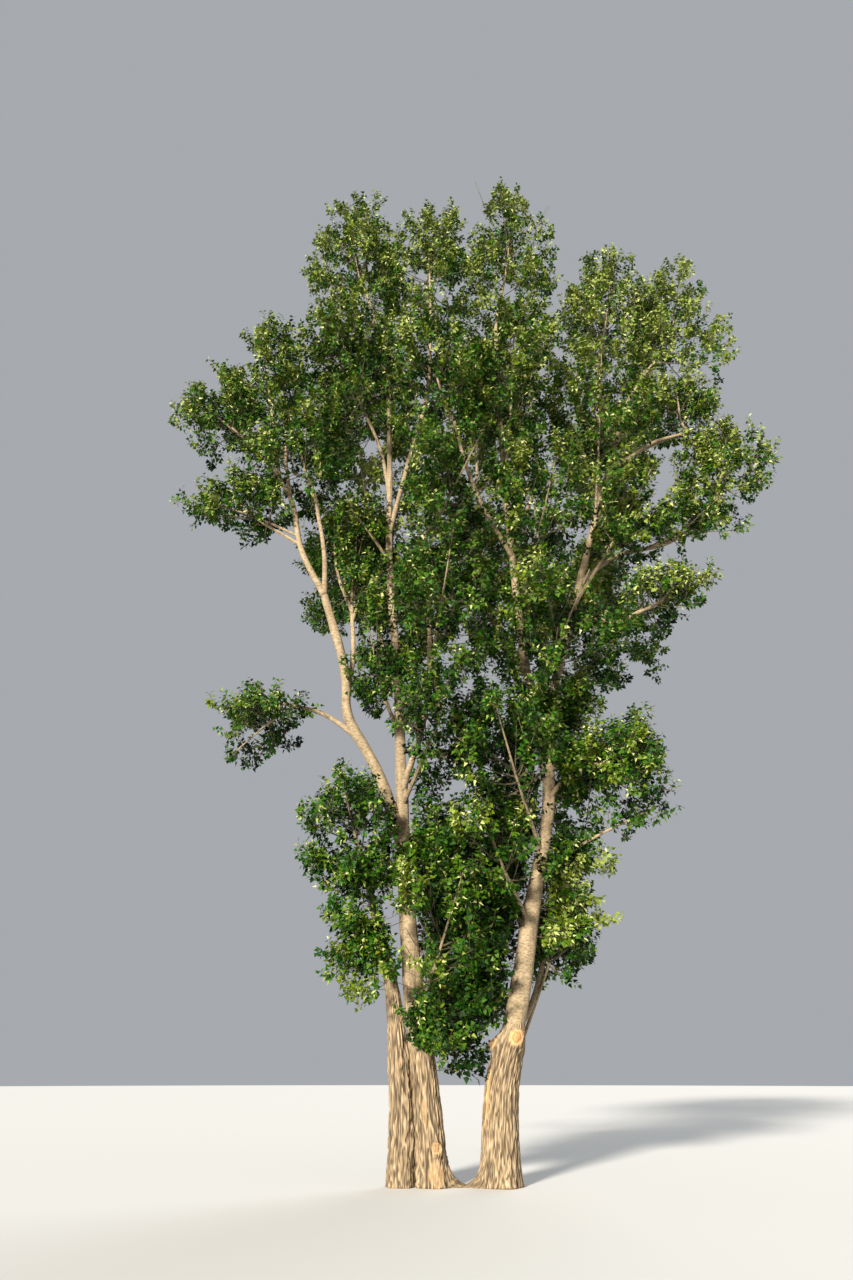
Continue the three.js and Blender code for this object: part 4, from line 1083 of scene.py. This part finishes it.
def leaves_on(shoots, space, random):
    """Blades on stalks all round each shoot, as places, faces and the tint of each face."""
    count = len(shoots)
    order = np.tile(np.arange(LEAVES_ON_SHOOT), count)
    index = np.repeat(np.arange(count), LEAVES_ON_SHOOT)
    total = len(index)
    share = FIRST_LEAF + (1 - FIRST_LEAF) * (order + random.random(total)) / LEAVES_ON_SHOOT
    roots, onward = on_lines(shoots, index, share)
    outward = outward_ways(onward, order, random.random(count)[index])
    length = scattered(random, LEAF["length"], total) * tapered(share)
    glints = random.random(total) < GLINT["share"]
    width = np.where(glints, GLINT["width"], LEAF["width"])[:, None]
    stalk_way = unit(blended(STALK_TURN, (onward, outward, UP)))
    stalk_ends = roots + stalk_way * (length * LEAF["stalk"])[:, None]
    chance = random.random((total, 3)) - 0.5
    blade_way = unit(blended(BLADE_TURN, (stalk_way, UP, chance)))
    chance = random.random((total, 3)) - 0.5
    crown_out = unit(roots - space.middle)
    facing = blended(FACE_TURN, (UP, crown_out, unit(SUN_WAY), chance))
    side = unit(np.cross(facing, blade_way))
    face = np.cross(blade_way, side)

    def place(along, across, lift):
        step = blade_way * along + side * across * width + face * lift
        return stalk_ends + step * length[:, None]

    stalk_half = side * LEAF["stalk_half"]
    rows = [
        roots - stalk_half, roots + stalk_half, place(0, 0, 0), place(1, 0, -LEAF["curl"]),
        place(BLADE[0], BLADE[1], LEAF["fold"]), place(BLADE[0], -BLADE[1], LEAF["fold"]),
    ]
    places = np.stack(rows, axis=1).reshape(-1, 3)
    corners = np.array([(0, 1, 2), (2, 4, 3), (2, 3, 5)])
    faces = (corners[None] + (np.arange(total) * len(rows))[:, None, None]).reshape(-1, 3)
    light = leaf_light(shoots[:, -1], space, random)
    tint = np.clip(light * len(TINTS), 0, len(TINTS) - 2).astype(int)[index]
    tint = np.where(glints, np.minimum(tint + GLINT["step"], len(TINTS) - 1), tint)
    return places, faces, np.repeat(tint, len(corners))


def joined(parts):
    """Several sets of places and faces as one."""
    places = [part[0] for part in parts]
    starts = np.cumsum([0] + [len(p) for p in places[:-1]])
    faces = [part[1] + start for part, start in zip(parts, starts)]
    return np.vstack(places), np.vstack(faces)


def make_crown_part(part, barks, leaf_materials):
    """One piece of twigs and one of leaves for all masses of a part of the crown."""
    skins, looks, blades, tints, nodes = [], [], [], [], []
    for seed, (name, row) in enumerate(MASSES.items(), start=1):
        if row[0] != part:
            continue
        space, small_limbs, lines = grow_mass(name, seed)
        shoots = lines["shoot"]
        lines["shoot"] = shoots[:, [0, -1]]
        stem, *thin = [rods(lines[kind], *RODS[kind]) for kind in RODS]
        thick = [stem] + [rods(line, radii, SMALL_LIMB_SIDES) for line, radii in small_limbs]
        skins += thick + thin
        looks += [np.full(len(faces), look) for look in (0, 1) for _, faces in (thick, thin)[look]]
        random = np.random.default_rng(seed + len(MASSES))
        places, faces, tint = leaves_on(shoots, space, random)
        blades.append((places, faces))
        tints.append(tint)
        nodes.append("foliage_" + name)
    twigs = make_mesh("twigs_" + part, *joined(skins), barks, np.concatenate(looks))
    finish_piece(twigs, nodes)
    leaves = make_mesh("leaves_" + part, *joined(blades), leaf_materials, np.concatenate(tints))
    finish_piece(leaves, nodes)


# MATERIALS
def new_material(name, roughness):
    material = bpy.data.materials.new(name)
    material.use_nodes = True
    shader = material.node_tree.nodes["Principled BSDF"]
    shader.inputs["Roughness"].default_value = roughness
    return material, material.node_tree, shader


def leaf_material(tint):
    material, _, shader = new_material("leaf_" + tint, ROUGHNESS["leaf"])
    shader.inputs["Base Color"].default_value = (*TINTS[tint], 1)
    shader.inputs["Specular IOR Level"].default_value = LEAF_GLOSS
    return material


def node(tree, kind, **settings):
    made = tree.nodes.new("ShaderNode" + kind)
    for name, value in settings.items():
        setattr(made, name, value)
    return made


def ramped(tree, factor, stops):
    """Colours of a factor, by stops of position and colour."""
    ramp = node(tree, "ValToRGB")
    elements = ramp.color_ramp.elements
    while len(elements) < len(stops):
        elements.new(0.5)
    for element, (position, colour) in zip(elements, stops):
        element.position = position
        element.color = (*colour, 1)
    tree.links.new(factor, ramp.inputs["Fac"])
    return ramp.outputs["Color"]


def grain(tree, name):
    """Noise in the tree's own frame, stretched by a factor along each axis."""
    stretch, scale, detail = GRAINS[name]
    coordinates = node(tree, "TexCoord")
    mapping = node(tree, "Mapping")
    mapping.inputs["Scale"].default_value = stretch
    tree.links.new(coordinates.outputs["Object"], mapping.inputs["Vector"])
    texture = node(tree, "TexNoise")
    texture.inputs["Scale"].default_value = scale
    texture.inputs["Detail"].default_value = detail
    tree.links.new(mapping.outputs["Vector"], texture.inputs["Vector"])
    return texture.outputs["Fac"]


def mix_colours(tree, factor, first, second, blend="MIX"):
    mix = node(tree, "Mix", data_type="RGBA", blend_type=blend)
    sockets = [s for s in mix.inputs if s.enabled]
    for socket, value in zip(sockets, (factor, first, second)):
        if isinstance(value, bpy.types.NodeSocket):
            tree.links.new(value, socket)
        elif isinstance(value, tuple):
            socket.default_value = (*value, 1)
        else:
            socket.default_value = value
    return next(s for s in mix.outputs if s.enabled)


def measured(tree, name):
    return node(tree, "Attribute", attribute_name=name).outputs["Fac"]


def bark_material():
    """Furrowed bark where the limb is old, smooth with level pores where it is young."""
    material, tree, shader = new_material("bark", ROUGHNESS["bark"])
    fine = grain(tree, "fine")
    broad = grain(tree, "broad")

    def grained(layer, colours, factor, greys, blend):
        return mix_colours(tree, GRAIN_SHARES[layer], colours, ramped(tree, factor, greys), blend)

    # Darker towards the furrows: partly the bark's own colour, partly painted shade in the furrows
    furrowed = ramped(tree, measured(tree, "ridge"), FURROWED_COLOURS)
    furrowed = grained("furrowed", furrowed, fine, GRAIN_GREYS, "OVERLAY")
    smooth = ramped(tree, grain(tree, "pores"), SMOOTH_COLOURS)
    smooth = grained("smooth", smooth, grain(tree, "mottles"), GRAIN_GREYS, "SOFT_LIGHT")
    smooth = mix_colours(tree, ramped(tree, broad, LICHEN_STOPS), smooth, LICHEN)
    bark = mix_colours(tree, measured(tree, "age"), smooth, furrowed)
    bark = grained("weather", bark, broad, WEATHER_GREYS, "SOFT_LIGHT")
    bare = ramped(tree, measured(tree, "cut"), WOOD_COLOURS)
    bare = grained("wood", bare, fine, GRAIN_GREYS, "OVERLAY")
    bark = mix_colours(tree, measured(tree, "wood"), bark, bare)
    tree.links.new(bark, shader.inputs["Base Color"])
    bump = node(tree, "Bump")
    for name, value in BUMP.items():
        bump.inputs[name].default_value = value
    tree.links.new(fine, bump.inputs["Height"])
    tree.links.new(bump.outputs["Normal"], shader.inputs["Normal"])
    return material


def twig_material():
    material, tree, shader = new_material("shaded_twig_bark", ROUGHNESS["shaded_twig_bark"])
    # The twigs' own brown bark, darkened as painted shade of the crown's inside
    colours = ramped(tree, grain(tree, "twig"), SHADED_TWIG_COLOURS)
    tree.links.new(colours, shader.inputs["Base Color"])
    return material


# STAGE
def make_stage():
    angle = np.linspace(0, 2 * math.pi, FLOOR_SIDES, endpoint=False)
    rim = round_middle(angle, FLOOR_RADIUS, np.zeros(FLOOR_SIDES))
    places = np.vstack([rim, np.zeros((1, 3))])
    material, _, shader = new_material("floor", ROUGHNESS["floor"])
    shader.inputs["Base Color"].default_value = (*FLOOR_COLOUR, 1)
    make_mesh("floor", places, fan_faces(FLOOR_SIDES, 0, FLOOR_SIDES), [material])


def make_lights():
    for name, (way, strength, spread, colour) in LIGHTS.items():
        light = bpy.data.lights.new(name, "SUN")
        light.energy = strength
        light.angle = math.radians(spread)
        light.color = colour
        holder = bpy.data.objects.new(name, light)
        holder.rotation_euler = Vector(way).to_track_quat("Z", "Y").to_euler()
        bpy.context.scene.collection.objects.link(holder)
    world = bpy.data.worlds.new("soft_room")
    world.use_nodes = True
    background = world.node_tree.nodes["Background"]
    background.inputs["Color"].default_value = (*ROOM_COLOUR, 1)
    background.inputs["Strength"].default_value = ROOM_STRENGTH
    bpy.context.scene.world = world


def make_camera():
    camera = bpy.data.cameras.new("camera")
    camera.lens = LENS_MM
    camera.sensor_width = PICTURE_MM
    camera.clip_end = FAR_CLIP
    holder = bpy.data.objects.new("camera", camera)
    holder.location = EYE
    holder.rotation_euler = (math.pi / 2 + EYE_TILT, 0, 0)
    bpy.context.scene.collection.objects.link(holder)
    bpy.context.scene.camera = holder


def make_courses():
    limbs = {}
    for name, stem in STEMS.items():
        (_, foot_girth), *_, (_, top_girth) = stem["girths"]
        limbs[name] = {"course": Course(stem["course"]), "radii": (foot_girth / 2, top_girth / 2)}
    for name, (parent, along, girth, places) in BOUGHS.items():
        start = limbs[parent]["course"].at(along)
        radii = (girth[0] / 2, girth[1] / 2)
        limbs[name] = {"course": Course([start, *places]), "radii": radii}
    return limbs


def limb_places():
    """Places along the middle of all limbs, each with the limb's radius there."""
    rows = []
    for limb in LIMBS.values():
        shares = np.arange(0, 1, LIMB_STEP / limb["course"].length)
        rows.append(np.column_stack([limb["course"].at(shares), mixed(*limb["radii"], shares)]))
    return np.vstack(rows)


bpy.context.scene.view_settings.view_transform = "Standard"
LIMBS = make_courses()
LIMB_PLACES = limb_places()

make_camera()
make_lights()
make_stage()
bark = bark_material()
shaded_twig_bark = twig_material()
leaf_materials = [leaf_material(tint) for tint in TINTS]
for name in STEMS:
    make_stem(name, bark)
for name in BOUGHS:
    make_bough(name, bark)
for part in CROWN_PARTS:
    make_crown_part(part, [bark, shaded_twig_bark], leaf_materials)
